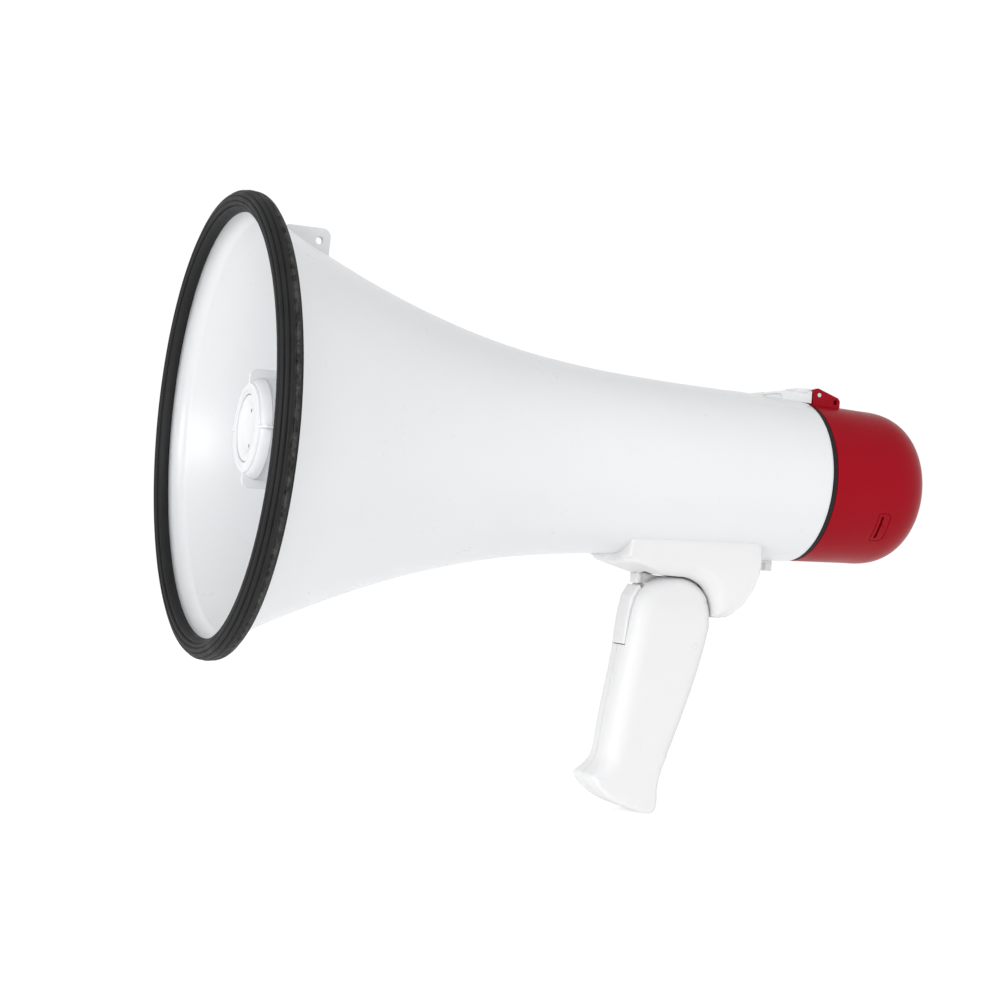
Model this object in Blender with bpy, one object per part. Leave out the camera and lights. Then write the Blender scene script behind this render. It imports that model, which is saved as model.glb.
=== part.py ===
"""Hand-held megaphone with a folding pistol grip.

Shapes are laid out in millimetres in the horn's own frame: x runs along the horn axis from the
mouth to the rear, y to the user's right, z up. Each piece is then moved to the row frame, which
has its origin under the middle of the object, on the floor plane below the grip.
"""
import math

import bmesh
import bpy
from mathutils import Matrix, Vector

MM = 0.001
FRAME_SHIFT = Vector((184.7, 0.0, -168.0))

# Horn and rim
HORN_STEPS = 48
RIM_R = 105.4
RIM_FRONT_X = -0.8
RIM_REAR_X = 9.7
HORN_WALL = 2.3
SEAM_X = 301.3
SEAM_R = 40.6
HORN_CURVE = [
    (25.0, 89.4), (41.0, 82.2), (58.0, 74.9), (77.0, 67.7), (100.0, 60.2), (128.0, 53.0),
    (160.0, 47.4), (200.0, 43.9), (250.0, 42.2),
]

# Rear cap
CAP_FRONT_X = 304.2
CAP_SIDE_X = 337.5
CAP_END_X = 367.1
CAP_R = 40.2
CAP_WALL = 2.4
CAP_POWER = 2.72
HINGE = (309.1, 44.2)
HINGE_PIN_R = 1.1
EAR_OUT = 9.75
EAR_IN = 6.75
SLOT_TURN = math.radians(32.0)
KNOB_YZ = (15.0, -19.0)
BUTTON_YZ = (14.5, 18.5)

# Driver
BULLET_R = 23.0
FIN_R = 27.0

# Batteries
CELL_R = 13.1
CELL_LENGTH = 50.0
CELL_PITCH = 13.45
CELL_STARTS = (191.0, 244.0)

# Grip
PIVOT = (236.5, -71.3)
GRIP_TOP_R = 18.5
SADDLE_ARC_R = 19.0
GRIP_HALF = 13.0
PARTING = 0.15
TRIGGER_PIN = (216.6, -83.6)
LATCH_PIN = (287.0, -36.6)
GRIP_SCREWS = ((247.6, -85.8), (222.0, -119.0), (213.5, -153.0))
SADDLE_SCREWS = (203.0, 268.0)

# The exact solver drops faces on these two
MANIFOLD_CUTS = ("handle_shell_left", "handle_shell_right", "rear_cap")

WHITE = ("abs_white", (0.86, 0.87, 0.88, 1.0), 0.32, 0.0)
GRIP_WHITE = ("grip_white", (0.83, 0.83, 0.82, 1.0), 0.5, 0.0)
RUBBER = ("black_rubber", (0.02, 0.02, 0.021, 1.0), 0.8, 0.0)
RED = ("abs_red", (0.42, 0.012, 0.022, 1.0), 0.45, 0.0)
STEEL = ("steel", (0.6, 0.6, 0.61, 1.0), 0.3, 1.0)
DARK = ("dark_plastic", (0.03, 0.03, 0.032, 1.0), 0.5, 0.0)
FERRITE = ("ferrite", (0.06, 0.06, 0.065, 1.0), 0.7, 0.0)
COPPER = ("copper", (0.7, 0.32, 0.14, 1.0), 0.35, 1.0)
BOARD = ("circuit_board", (0.03, 0.16, 0.06, 1.0), 0.5, 0.0)
CELL = ("cell_jacket", (0.09, 0.1, 0.13, 1.0), 0.35, 0.0)
FILM = ("diaphragm_film", (0.45, 0.3, 0.12, 1.0), 0.4, 0.0)
BRASS = ("brass", (0.72, 0.55, 0.22, 1.0), 0.35, 1.0)

for old in list(bpy.data.objects):
    bpy.data.objects.remove(old, do_unlink=True)

PARTS = bpy.data.collections.new("megaphone")
CUTTERS = bpy.data.collections.new("cutters")
bpy.context.scene.collection.children.link(PARTS)
bpy.context.scene.collection.children.link(CUTTERS)


def material(spec):
    name, colour, roughness, metallic = spec
    found = bpy.data.materials.get(name)
    if found:
        return found
    made = bpy.data.materials.new(name)
    made.use_nodes = True
    shader = made.node_tree.nodes["Principled BSDF"]
    shader.inputs["Base Color"].default_value = colour
    shader.inputs["Roughness"].default_value = roughness
    shader.inputs["Metallic"].default_value = metallic
    return made


def put(name, bm, pivot, spec, collection):
    """Move a millimetre bmesh to its pivot and place the object in the row frame."""
    bmesh.ops.remove_doubles(bm, verts=bm.verts, dist=0.01)
    bmesh.ops.recalc_face_normals(bm, faces=bm.faces)
    bmesh.ops.translate(bm, vec=-Vector(pivot), verts=bm.verts)
    bmesh.ops.scale(bm, vec=(MM, MM, MM), verts=bm.verts)
    mesh = bpy.data.meshes.new(name)
    bm.to_mesh(mesh)
    bm.free()
    mesh.shade_smooth()
    mesh.set_sharp_from_angle(angle=math.radians(32))
    if spec:
        mesh.materials.append(material(spec))
    obj = bpy.data.objects.new(name, mesh)
    obj.location = (Vector(pivot) - FRAME_SHIFT) * MM
    collection.objects.link(obj)
    return obj


def piece(name, bm, spec, pivot=(0.0, 0.0, 0.0)):
    return put(name, bm, pivot, spec, PARTS)


def combine(obj, bm, operation):
    """Join, cut or intersect an object with a hidden tool solid."""
    tool = put(f"{obj.name}_{operation.lower()}", bm, (0.0, 0.0, 0.0), None, CUTTERS)
    tool.hide_render = True
    tool.display_type = "WIRE"
    modifier = obj.modifiers.new(tool.name, "BOOLEAN")
    modifier.operation = operation
    modifier.solver = "MANIFOLD" if obj.name in MANIFOLD_CUTS else "EXACT"
    modifier.object = tool


def cut(obj, bm):
    combine(obj, bm, "DIFFERENCE")


def join(obj, bm):
    combine(obj, bm, "UNION")


def lathe(profile, steps, axis="X", centre=(0.0, 0.0, 0.0), closed=True):
    """Turn (along, radius) points about a line parallel to a frame axis."""
    bm = bmesh.new()
    verts = [bm.verts.new((a, 0.0, r)) for a, r in profile]
    pairs = list(zip(verts, verts[1:]))
    if closed:
        pairs.append((verts[-1], verts[0]))
    for first, second in pairs:
        bm.edges.new((first, second))
    bmesh.ops.spin(
        bm, geom=bm.verts[:] + bm.edges[:], cent=(0, 0, 0), axis=(1, 0, 0), dvec=(0, 0, 0),
        angle=math.tau, steps=steps, use_merge=True, use_duplicate=False,
    )
    bmesh.ops.remove_doubles(bm, verts=bm.verts, dist=0.005)
    turn = {
        "X": Matrix.Identity(3),
        "Y": Matrix.Rotation(math.radians(90), 3, "Z"),
        "Z": Matrix.Rotation(math.radians(-90), 3, "Y"),
    }[axis]
    bmesh.ops.transform(bm, matrix=turn.to_4x4(), verts=bm.verts)
    bmesh.ops.translate(bm, vec=centre, verts=bm.verts)
    return bm


def rod(radius, low, high, axis, centre, steps=16):
    profile = [(low, 0.0), (low, radius), (high, radius), (high, 0.0)]
    return lathe(profile, steps, axis, centre, closed=False)


def prism(outline, axis, low, high):
    """Extrude a flat outline; its points are the two frame axes left over, in x, y, z order."""
    place = {
        "X": lambda a, b, c: (c, a, b),
        "Y": lambda a, b, c: (a, c, b),
        "Z": lambda a, b, c: (a, b, c),
    }[axis]
    bm = bmesh.new()
    face = bm.faces.new([bm.verts.new(place(a, b, low)) for a, b in outline])
    moved = bmesh.ops.extrude_face_region(bm, geom=[face])["geom"]
    lifted = [item for item in moved if isinstance(item, bmesh.types.BMVert)]
    bmesh.ops.translate(bm, vec=place(0.0, 0.0, high - low), verts=lifted)
    return bm


def box(low, high):
    return prism(
        [(low[0], low[1]), (high[0], low[1]), (high[0], high[1]), (low[0], high[1])],
        "Z", low[2], high[2],
    )


def loft(rows):
    """Skin closed rows of equal length and close both ends."""
    bm = bmesh.new()
    grid = [[bm.verts.new(point) for point in row] for row in rows]
    count = len(grid[0])
    for lower, upper in zip(grid, grid[1:]):
        for i in range(count):
            j = (i + 1) % count
            bm.faces.new((lower[i], lower[j], upper[j], upper[i]))
    bm.faces.new(grid[0])
    bm.faces.new(grid[-1])
    return bm


def merged(*shapes):
    """Gather several separate solids into one tool."""
    target = shapes[0]
    for shape in shapes[1:]:
        mesh = bpy.data.meshes.new("part_of_tool")
        shape.to_mesh(mesh)
        shape.free()
        target.from_mesh(mesh)
        bpy.data.meshes.remove(mesh)
    return target


def turned(bm, angle):
    """Swing a shape about the horn axis."""
    bmesh.ops.transform(bm, matrix=Matrix.Rotation(angle, 4, "X"), verts=bm.verts)
    return bm


def arc(centre, radius, start_deg, end_deg, count):
    """Points on a circle, with the angle measured from +z towards +x."""
    points = []
    for i in range(count):
        angle = math.radians(start_deg + (end_deg - start_deg) * i / (count - 1))
        points.append((centre[0] + radius * math.sin(angle), centre[1] + radius * math.cos(angle)))
    return points


def horn_radius(x):
    """Outer radius of the horn at a station, straight between the design points."""
    curve = [(10.2, 97.4)] + HORN_CURVE + [(SEAM_X, SEAM_R)]
    for (x0, r0), (x1, r1) in zip(curve, curve[1:]):
        if x <= x1:
            return r0 + (r1 - r0) * (x - x0) / (x1 - x0)
    return SEAM_R


def cap_profile(wall, count):
    """Outer (wall 0) or inner half profile of the rear cap, from its edge to the axis."""
    points = [(CAP_FRONT_X, CAP_R - wall)]
    side_r = CAP_R - 1.05 - wall
    reach = CAP_END_X - wall - CAP_SIDE_X
    for i in range(count):
        along = math.sin(math.radians(90.0 * i / (count - 1)))
        radius = side_r * max(0.0, 1.0 - along ** CAP_POWER) ** (1.0 / CAP_POWER)
        points.append((CAP_SIDE_X + reach * along, radius))
    return points


# ---------------------------------------------------------------- horn body and rim
def build_horn():
    outer = [(2.4, 100.35), (9.3, 100.35), (10.2, 99.4), (10.2, 97.4)]
    outer += HORN_CURVE + [(SEAM_X, SEAM_R)]
    inner = [(SEAM_X, SEAM_R - HORN_WALL)]
    inner += [(x, r - HORN_WALL) for x, r in reversed(HORN_CURVE)]
    inner += [(12.0, 95.6), (7.5, 97.9), (2.4, 98.9)]
    horn = piece("horn_body", lathe(outer + inner, HORN_STEPS), WHITE)

    tab = [(26.0, 84.0), (27.0, 92.5), (28.5, 94.2), (45.5, 94.2), (48.0, 92.8), (49.0, 90.0)]
    tab += [(48.4, 82.0), (46.0, 77.2), (30.0, 84.5)]
    join(horn, prism(tab, "Y", -1.5, 1.5))
    cut(horn, rod(1.7, -3.0, 3.0, "Y", (43.6, 0.0, 88.4), 20))

    lug = [(284.3, -39.6), (289.7, -39.6), (289.7, -34.3), (284.3, -34.3)]
    join(horn, merged(prism(lug, "Y", -6.6, -3.7), prism(lug, "Y", 3.7, 6.6)))
    cut(horn, merged(
        rod(1.2, -8.0, 8.0, "Y", (LATCH_PIN[0], 0.0, LATCH_PIN[1]), 16),
        box((283.7, -3.0, -44.0), (296.5, 3.0, -37.6)),
        rod(1.75, 36.0, 44.0, "Z", (291.0, 0.0, 0.0), 16),
        rod(1.75, -47.0, -38.0, "Z", (SADDLE_SCREWS[0], 0.0, 0.0), 16),
        rod(1.75, -46.0, -37.0, "Z", (SADDLE_SCREWS[1], 0.0, 0.0), 16),
    ))

    rim = [(RIM_FRONT_X, 99.3), (RIM_FRONT_X, 102.0), (0.7, 104.3), (2.8, RIM_R)]
    rim += [(7.4, RIM_R - 0.1), (9.2, 104.3), (RIM_REAR_X, 103.0), (RIM_REAR_X, 100.65)]
    rim += [(2.1, 100.65), (2.1, 98.6), (5.3, 98.25), (5.3, 95.7), (4.2, 95.6), (0.8, 97.0)]
    piece("rim_ring", lathe(rim, HORN_STEPS), RUBBER)

    seal = [(301.6, 37.4), (301.6, 40.1), (303.9, 40.1), (303.9, 37.4)]
    piece("rear_gasket", lathe(seal, 40), RUBBER)


# ---------------------------------------------------------------- driver and inner horn
def build_driver():
    cup = [(16.0, 15.6), (16.0, 19.4), (16.8, 20.3), (18.6, 21.6), (21.4, 22.8), (24.0, BULLET_R)]
    cup += [(66.0, BULLET_R), (72.0, 22.2), (72.0, 21.0), (21.2, 21.0), (19.6, 15.6)]
    housing = piece("driver_housing", lathe(cup, 28), WHITE)
    fin = [(23.5, 21.6), (16.4, 18.4), (15.6, 18.6), (15.6, 23.6), (18.6, FIN_R), (100.0, FIN_R)]
    fin += [(128.0, 49.6), (146.0, 46.2), (146.0, 31.6), (104.0, 24.6), (66.0, 22.2)]
    fins = [turned(prism(fin, "Y", -1.2, 1.2), math.radians(90.0 * k)) for k in range(4)]
    join(housing, merged(*fins))

    dish = [(18.1, 0.0), (18.0, 9.4), (16.7, 11.5), (16.2, 14.6), (16.8, 15.3), (19.9, 15.3)]
    dish += [(20.9, 14.0), (20.9, 0.0)]
    front = piece("driver_front_cap", lathe(dish, 28, closed=False), WHITE)
    cut(front, merged(
        rod(1.0, 14.0, 24.0, "X", (0.0, 0.0, 8.0), 12),
        rod(1.0, 14.0, 24.0, "X", (0.0, 0.0, -8.0), 12),
    ))
    for name, z in (("driver_cap_screw_upper", 8.0), ("driver_cap_screw_lower", -8.0)):
        profile = [(17.1, 0.0), (17.1, 1.3), (18.0, 1.3), (18.0, 0.75), (24.6, 0.75), (24.6, 0.0)]
        piece(name, lathe(profile, 14, "X", (0.0, 0.0, z), closed=False), STEEL)

    yoke = [(25.0, 0.0), (25.0, 20.4), (30.0, 20.4), (30.0, 12.0), (46.0, 12.0), (46.0, 0.0)]
    back = piece("driver_yoke", lathe(yoke, 24, closed=False), STEEL)
    cut(back, merged(
        rod(1.0, 20.0, 27.5, "X", (0.0, 0.0, 8.0), 12),
        rod(1.0, 20.0, 27.5, "X", (0.0, 0.0, -8.0), 12),
    ))
    magnet = [(30.3, 14.6), (30.3, 20.4), (41.7, 20.4), (41.7, 14.6)]
    piece("driver_magnet", lathe(magnet, 24), FERRITE)
    plate = [(42.0, 13.4), (42.0, 20.4), (46.0, 20.4), (46.0, 13.4)]
    piece("driver_top_plate", lathe(plate, 24), STEEL)
    coil = [(39.0, 12.4), (39.0, 12.95), (47.2, 12.95), (47.2, 12.4)]
    piece("voice_coil", lathe(coil, 24), COPPER)
    film = [(52.6, 0.0), (51.6, 5.0), (49.6, 9.6), (47.5, 12.6), (48.6, 15.5), (48.2, 18.8)]
    film += [(48.6, 18.8), (49.0, 15.5), (47.9, 13.0), (50.0, 10.0), (52.0, 5.3), (53.0, 0.0)]
    piece("diaphragm", lathe(film, 20, closed=False), FILM)

    tube = [(54.0, 9.0), (54.0, 20.6), (57.0, 20.6), (57.0, 12.5), (75.0, 13.2), (100.0, 17.0)]
    tube += [(125.0, 22.5), (150.0, 29.4), (150.0, 27.4), (125.0, 20.5), (100.0, 15.0)]
    tube += [(75.0, 11.2)]
    piece("tone_tube", lathe(tube, 24), WHITE)
    plug = [(54.2, 0.0), (54.2, 7.2), (60.0, 5.5), (70.0, 0.0)]
    plug_obj = piece("phase_plug", lathe(plug, 16, closed=False), WHITE)
    web = [(-0.6, -8.8), (0.6, -8.8), (0.6, 8.8), (-0.6, 8.8)]
    join(plug_obj, merged(prism(web, "X", 54.5, 58.0)))

    bowl = [(156.0, 0.0), (159.0, 7.0), (166.0, 20.0), (167.5, 28.0), (164.5, 38.0)]
    bowl += [(160.0, 44.5), (164.0, 44.3), (172.0, 43.2), (172.0, 0.0)]
    piece("reflector_bulkhead", lathe(bowl, 32, closed=False), WHITE)


# ---------------------------------------------------------------- electronics and batteries
def build_power():
    board = piece("amplifier_board", lathe([(177.0, 0.0), (177.0, 36.0), (178.6, 36.0),
                                            (178.6, 0.0)], 32, closed=False), BOARD)
    join(board, merged(
        box((178.0, -18.0, 6.0), (186.0, 18.0, 12.0)),
        rod(5.0, 178.0, 185.5, "X", (0.0, 14.0, -12.0), 16),
        rod(3.5, 178.0, 184.0, "X", (0.0, -14.0, -12.0), 16),
    ))

    carrier = piece("battery_carrier", merged(
        prism([(-1.0, -30.4), (1.0, -30.4), (1.0, 33.0), (-1.0, 33.0)], "X", 188.0, 297.6)), DARK)
    join(carrier, prism([(-33.0, -1.0), (33.0, -1.0), (33.0, 1.0), (-33.0, 1.0)],
                        "X", 188.0, 297.6))
    join(carrier, rod(33.4, 188.0, 190.0, "X", (0.0, 0.0, 0.0), 28))
    join(carrier, rod(33.4, 241.6, 243.4, "X", (0.0, 0.0, 0.0), 28))
    join(carrier, rod(33.4, 295.6, 297.6, "X", (0.0, 0.0, 0.0), 28))

    number = 1
    for start in CELL_STARTS:
        for y_side, z_side in ((-1, 1), (1, 1), (-1, -1), (1, -1)):
            body = [(0.0, 0.0), (0.0, 11.6), (0.9, CELL_R), (47.6, CELL_R), (48.3, 12.2)]
            body += [(48.3, 3.3), (49.8, 3.3), (49.8, 0.0)]
            flip = y_side * z_side > 0
            profile = [(CELL_LENGTH - 0.1 - a if flip else a + 0.1, r) for a, r in body]
            where = (start, y_side * (CELL_PITCH + 0.9), z_side * (CELL_PITCH + 0.9))
            piece(f"battery_cell_{number}", lathe(profile, 16, "X", where, closed=False), CELL)
            number += 1

    bar = [(-20.0, -3.0), (20.0, -3.0), (20.0, 3.0), (-20.0, 3.0)]
    piece("contact_plate_front", merged(prism(bar, "X", 187.1, 187.7)), BRASS)
    piece("contact_plate_rear", merged(prism(bar, "X", 297.9, 298.5)), BRASS)


# ---------------------------------------------------------------- hinge, rear cap and controls
def build_cap():
    side = [(277.3, 39.2), (277.0, 42.4), (287.4, 44.4), (290.9, 44.5), (291.6, 44.2)]
    side += [(293.2, 44.2), (294.8, 44.7), (301.3, 44.0), (304.6, 46.0), (304.6, 39.0)]
    bracket = piece("hinge_bracket", prism(side, "Y", -EAR_OUT, EAR_OUT), WHITE)
    knuckle = [(297.8, 41.6), (304.4, 40.9)] + arc(HINGE, 3.3, 180.0, -30.0, 12)
    knuckle += [(304.8, 47.2), (299.0, 46.9), (297.8, 46.2)]
    join(bracket, prism(knuckle, "Y", -6.4, 6.4))
    seat = [(x, horn_radius(x) + 0.3) for x in (270.0, 290.0, 301.3)]
    seat = [(270.0, 0.0)] + seat + [(305.0, SEAM_R + 0.3), (305.0, 0.0)]
    cut(bracket, lathe(seat, 64, closed=False))
    cut(bracket, merged(
        rod(HINGE_PIN_R + 0.2, -12.0, 12.0, "Y", (HINGE[0], 0.0, HINGE[1]), 16),
        rod(1.5, 38.0, 43.9, "Z", (291.0, 0.0, 0.0), 16),
    ))
    screw = [(36.4, 0.0), (36.4, 2.8), (38.4, 2.8), (38.4, 1.25), (43.5, 1.25), (43.5, 0.0)]
    piece("hinge_bracket_screw", lathe(screw, 16, "Z", (291.0, 0.0, 0.0), closed=False), STEEL)
    piece("hinge_pin", rod(HINGE_PIN_R, -9.6, 9.6, "Y", (HINGE[0], 0.0, HINGE[1]), 16), STEEL)

    pivot = (HINGE[0], 0.0, HINGE[1])
    shell = list(reversed(cap_profile(CAP_WALL, 8))) + cap_profile(0.0, 8)
    cap = piece("rear_cap", lathe(shell, 40, closed=False), RED, pivot)
    ear = [(305.6, 38.2), (305.6, 46.2), (308.1, 47.4), (320.1, 43.7), (321.4, 42.1)]
    ear += [(321.3, 38.6), (318.0, 38.0)]
    join(cap, merged(prism(ear, "Y", -EAR_OUT, -EAR_IN), prism(ear, "Y", EAR_IN, EAR_OUT)))
    join(cap, box((305.4, -7.0, -38.8), (308.0, 7.0, -36.4)))
    join(cap, merged(
        rod(8.4, 357.4, 362.2, "X", (0.0, KNOB_YZ[0], KNOB_YZ[1]), 20),
        rod(7.6, 357.4, 362.2, "X", (0.0, BUTTON_YZ[0], BUTTON_YZ[1]), 20),
    ))
    cut(cap, merged(
        rod(HINGE_PIN_R + 0.2, -12.0, 12.0, "Y", (HINGE[0], 0.0, HINGE[1]), 12),
        rod(1.3, -12.0, 12.0, "Y", (318.2, 0.0, 41.3), 12),
    ))
    cut(cap, rod(12.2, 350.0, 380.0, "X", (0.0, 0.0, 4.0), 28))
    for (y, z), bore, pocket in ((KNOB_YZ, 2.0, 7.1), (BUTTON_YZ, 4.4, 5.9)):
        step = [(350.0, 0.0), (350.0, bore), (360.6, bore), (360.6, pocket), (380.0, pocket)]
        cut(cap, lathe(step + [(380.0, 0.0)], 18, "X", (0.0, y, z), closed=False))
    recess = [(-7.5, 38.1), (7.5, 38.1), (7.5, 44.0), (-7.5, 44.0)]
    cut(cap, turned(prism(recess, "X", 331.9, 338.9), math.pi / 2 + SLOT_TURN))
    slit = [(-6.3, 30.0), (6.3, 30.0), (6.3, 44.0), (-6.3, 44.0)]
    cut(cap, turned(prism(slit, "X", 333.6, 335.2), math.pi / 2 + SLOT_TURN))

    grille = [(362.0, 0.0), (362.0, 11.9), (367.9, 11.9), (368.6, 10.8), (369.0, 0.0)]
    mesh = piece("mic_grille", lathe(grille, 28, "X", (0.0, 0.0, 4.0), closed=False), DARK, pivot)
    holes = []
    for ring, count in ((0.0, 1), (5.4, 6)):
        for k in range(count):
            angle = math.tau * k / count
            where = (0.0, ring * math.cos(angle), 4.0 + ring * math.sin(angle))
            holes.append(rod(1.1, 366.0, 372.0, "X", where, 6))
    cut(mesh, merged(*holes))
    piece("mic_capsule", rod(8.0, 351.0, 361.0, "X", (0.0, 0.0, 4.0), 24), FERRITE, pivot)

    y, z = KNOB_YZ
    knob = [(353.0, 0.0), (353.0, 1.6), (361.0, 1.6), (361.0, 6.6), (369.0, 6.0), (370.2, 5.2)]
    knob += [(370.2, 0.0)]
    knob_bm = lathe(knob, 24, "X", (0.0, y, z), closed=False)
    piece("volume_knob", knob_bm, DARK, (360.0, y, z))
    pot = [(343.0, 0.0), (343.0, 6.0), (355.6, 6.0), (355.6, 1.95), (352.5, 1.95), (352.5, 0.0)]
    piece("volume_control", lathe(pot, 20, "X", (0.0, y, z), closed=False), FERRITE, pivot)

    y, z = BUTTON_YZ
    button = [(356.4, 0.0), (356.4, 5.2), (357.1, 5.2), (357.1, 4.1), (367.4, 4.1)]
    button += [(368.2, 3.2), (368.4, 0.0)]
    piece("siren_button", lathe(button, 20, "X", (0.0, y, z), closed=False), RED, (360.0, y, z))
    piece("siren_switch", box((344.0, y - 4.0, z - 4.0), (354.4, y + 4.0, z + 4.0)), DARK, pivot)

    turn = math.pi / 2 + SLOT_TURN
    lever = [(0.8, 33.4), (5.4, 33.4), (5.4, 35.0), (3.8, 35.0), (3.8, 38.9), (0.8, 38.9)]
    slider = turned(prism(lever, "X", 333.85, 334.95), turn)
    piece("mode_slider", slider, DARK, (334.4, 0.0, 0.0))
    body = turned(box((329.5, -7.5, 26.0), (339.5, 7.5, 32.9)), turn)
    piece("mode_switch", body, DARK, pivot)


def build_latch():
    pivot = (LATCH_PIN[0], 0.0, LATCH_PIN[1])
    arm = [(279.0, -36.2), (282.8, -36.2), (284.6, -38.0), (284.6, -41.5), (289.2, -42.2)]
    arm += [(289.2, -46.1), (292.6, -46.1), (292.6, -41.6), (291.6, -38.6), (292.6, -36.8), (309.0, -35.9)]
    arm += [(309.0, -37.0), (310.4, -37.0), (311.6, -34.6), (292.0, -35.2), (287.0, -34.6)]
    arm += [(283.0, -34.7), (279.0, -34.9)]
    latch = piece("cap_latch", prism(arm, "Y", -2.7, 2.7), WHITE, pivot)
    cut(latch, rod(1.25, -4.0, 4.0, "Y", pivot, 16))
    piece("latch_pin", rod(1.0, -6.4, 6.4, "Y", pivot, 16), STEEL)
    wire_spring("latch_spring", (280.9, 0.0, -38.45), (0.0, 0.0, 1.0), 1.3, 0.22, 1.9, 2.5)


def wire_spring(name, start, direction, radius, wire, length, turns):
    """A closed wire coil, swept as a poly curve and turned into a mesh."""
    along = Vector(direction)
    side = along.orthogonal().normalized()
    other = along.cross(side)
    steps = int(turns * 8)
    points = []
    for i in range(steps + 1):
        angle = math.tau * turns * i / steps
        offset = side * (radius * math.cos(angle)) + other * (radius * math.sin(angle))
        points.append(Vector(start) + along * (length * i / steps) + offset)
    swept(name, points, wire, start)


def swept(name, points, wire, pivot):
    curve = bpy.data.curves.new(name, "CURVE")
    curve.dimensions = "3D"
    curve.bevel_depth = wire * MM
    curve.bevel_resolution = 1
    curve.use_fill_caps = True
    spline = curve.splines.new("POLY")
    spline.points.add(len(points) - 1)
    for slot, point in zip(spline.points, points):
        slot.co = (*((point - Vector(pivot)) * MM), 1.0)
    holder = bpy.data.objects.new(name + "_path", curve)
    PARTS.objects.link(holder)
    mesh = bpy.data.meshes.new_from_object(holder)
    bpy.data.objects.remove(holder, do_unlink=True)
    bm = bmesh.new()
    bm.from_mesh(mesh)
    bpy.data.meshes.remove(mesh)
    bmesh.ops.remove_doubles(bm, verts=bm.verts, dist=0.00001)
    bmesh.ops.scale(bm, vec=(1 / MM, 1 / MM, 1 / MM), verts=bm.verts)
    bmesh.ops.translate(bm, vec=Vector(pivot), verts=bm.verts)
    piece(name, bm, STEEL, pivot)


# ---------------------------------------------------------------- saddle
def build_saddle():
    rows = []
    slices = (
        (-28.0, 25.0, 275.5), (-40.0, 24.0, 275.6), (-46.0, 22.3, 275.4), (-52.0, 20.4, 274.4),
        (-60.0, 18.0, 271.2), (-66.0, 16.2, 267.4), (-71.2, 15.0, 261.6),
    )
    for z, half, rear in slices:
        right = [(190.5, 0.0), (191.6, 1.5), (196.0, 3.2), (200.4, 6.2), (203.2, 10.8)]
        right += [(203.5, half - 2.5), (205.5, half), (rear - 5.0, half), (rear - 1.4, half - 1.6)]
        right += [(rear, half - 5.0)]
        left = [(x, -y) for x, y in reversed(right[1:])]
        rows.append([(x, y, z) for x, y in right + left])
    saddle = piece("saddle_bracket", loft(rows), GRIP_WHITE)

    seat = [(x, horn_radius(x) + 0.3) for x in (180.0, 205.0, 230.0, 260.0, 290.0)]
    seat = [(180.0, 0.0)] + seat + [(290.0, 0.0)]
    cut(saddle, lathe(seat, 64, closed=False))
    under = [(180.0, -42.6), (203.0, -49.7), (212.3, -52.4), (232.5, -52.3)]
    under += arc(PIVOT, SADDLE_ARC_R, 0.0, 90.0, 12) + [(255.5, -80.0), (180.0, -80.0)]
    cut(saddle, prism(under, "Y", -30.0, 30.0))
    room = [(206.8, -54.0), (206.8, -45.8), (248.6, -45.8)]
    room += arc(PIVOT, 23.8, 36.0, 78.0, 6) + arc(PIVOT, SADDLE_ARC_R - 1.0, 84.0, 0.0, 7)
    cut(saddle, prism(room, "Y", -13.9, 13.9))
    cut(saddle, merged(
        box((209.0, -3.2, -48.0), (244.5, 3.2, -44.1)),
        box((207.5, 15.8, -50.0), (252.0, 20.0, -20.0)),
        box((207.5, -20.0, -50.0), (252.0, -15.8, -20.0)),
        rod(1.5, -48.6, -40.0, "Z", (SADDLE_SCREWS[0], 0.0, 0.0), 16),
        rod(1.5, -54.0, -40.0, "Z", (SADDLE_SCREWS[1], 0.0, 0.0), 16),
    ))
    px, pz = PIVOT
    lean = Vector((math.sin(math.radians(28)), math.cos(math.radians(28))))
    across = Vector((lean.y, -lean.x))
    neck = []
    for reach, side in ((29.5, 1), (6.0, 1)):
        spot = lean * reach + across * (4.0 * side)
        neck.append((px + spot.x, pz + spot.y))
    neck += arc(PIVOT, 7.8, 64.0, 352.0, 14)
    for reach, side in ((6.0, -1), (29.5, -1)):
        spot = lean * reach + across * (4.0 * side)
        neck.append((px + spot.x, pz + spot.y))
    join(saddle, merged(prism(neck, "Y", -6.3, -3.4), prism(neck, "Y", 3.4, 6.3)))
    cut(saddle, rod(2.75, -8.0, 8.0, "Y", (px, 0.0, pz), 20))

    for name, x, deep in (("saddle_screw_front", SADDLE_SCREWS[0], -48.2),
                          ("saddle_screw_rear", SADDLE_SCREWS[1], -52.0)):
        top = -horn_radius(x) + HORN_WALL + 0.4
        profile = [(deep, 0.0), (deep, 1.25), (top, 1.25), (top, 2.8), (top + 2.0, 2.8)]
        profile += [(top + 2.0, 0.0)]
        piece(name, lathe(profile, 16, "Z", (x, 0.0, 0.0), closed=False), STEEL)


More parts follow.
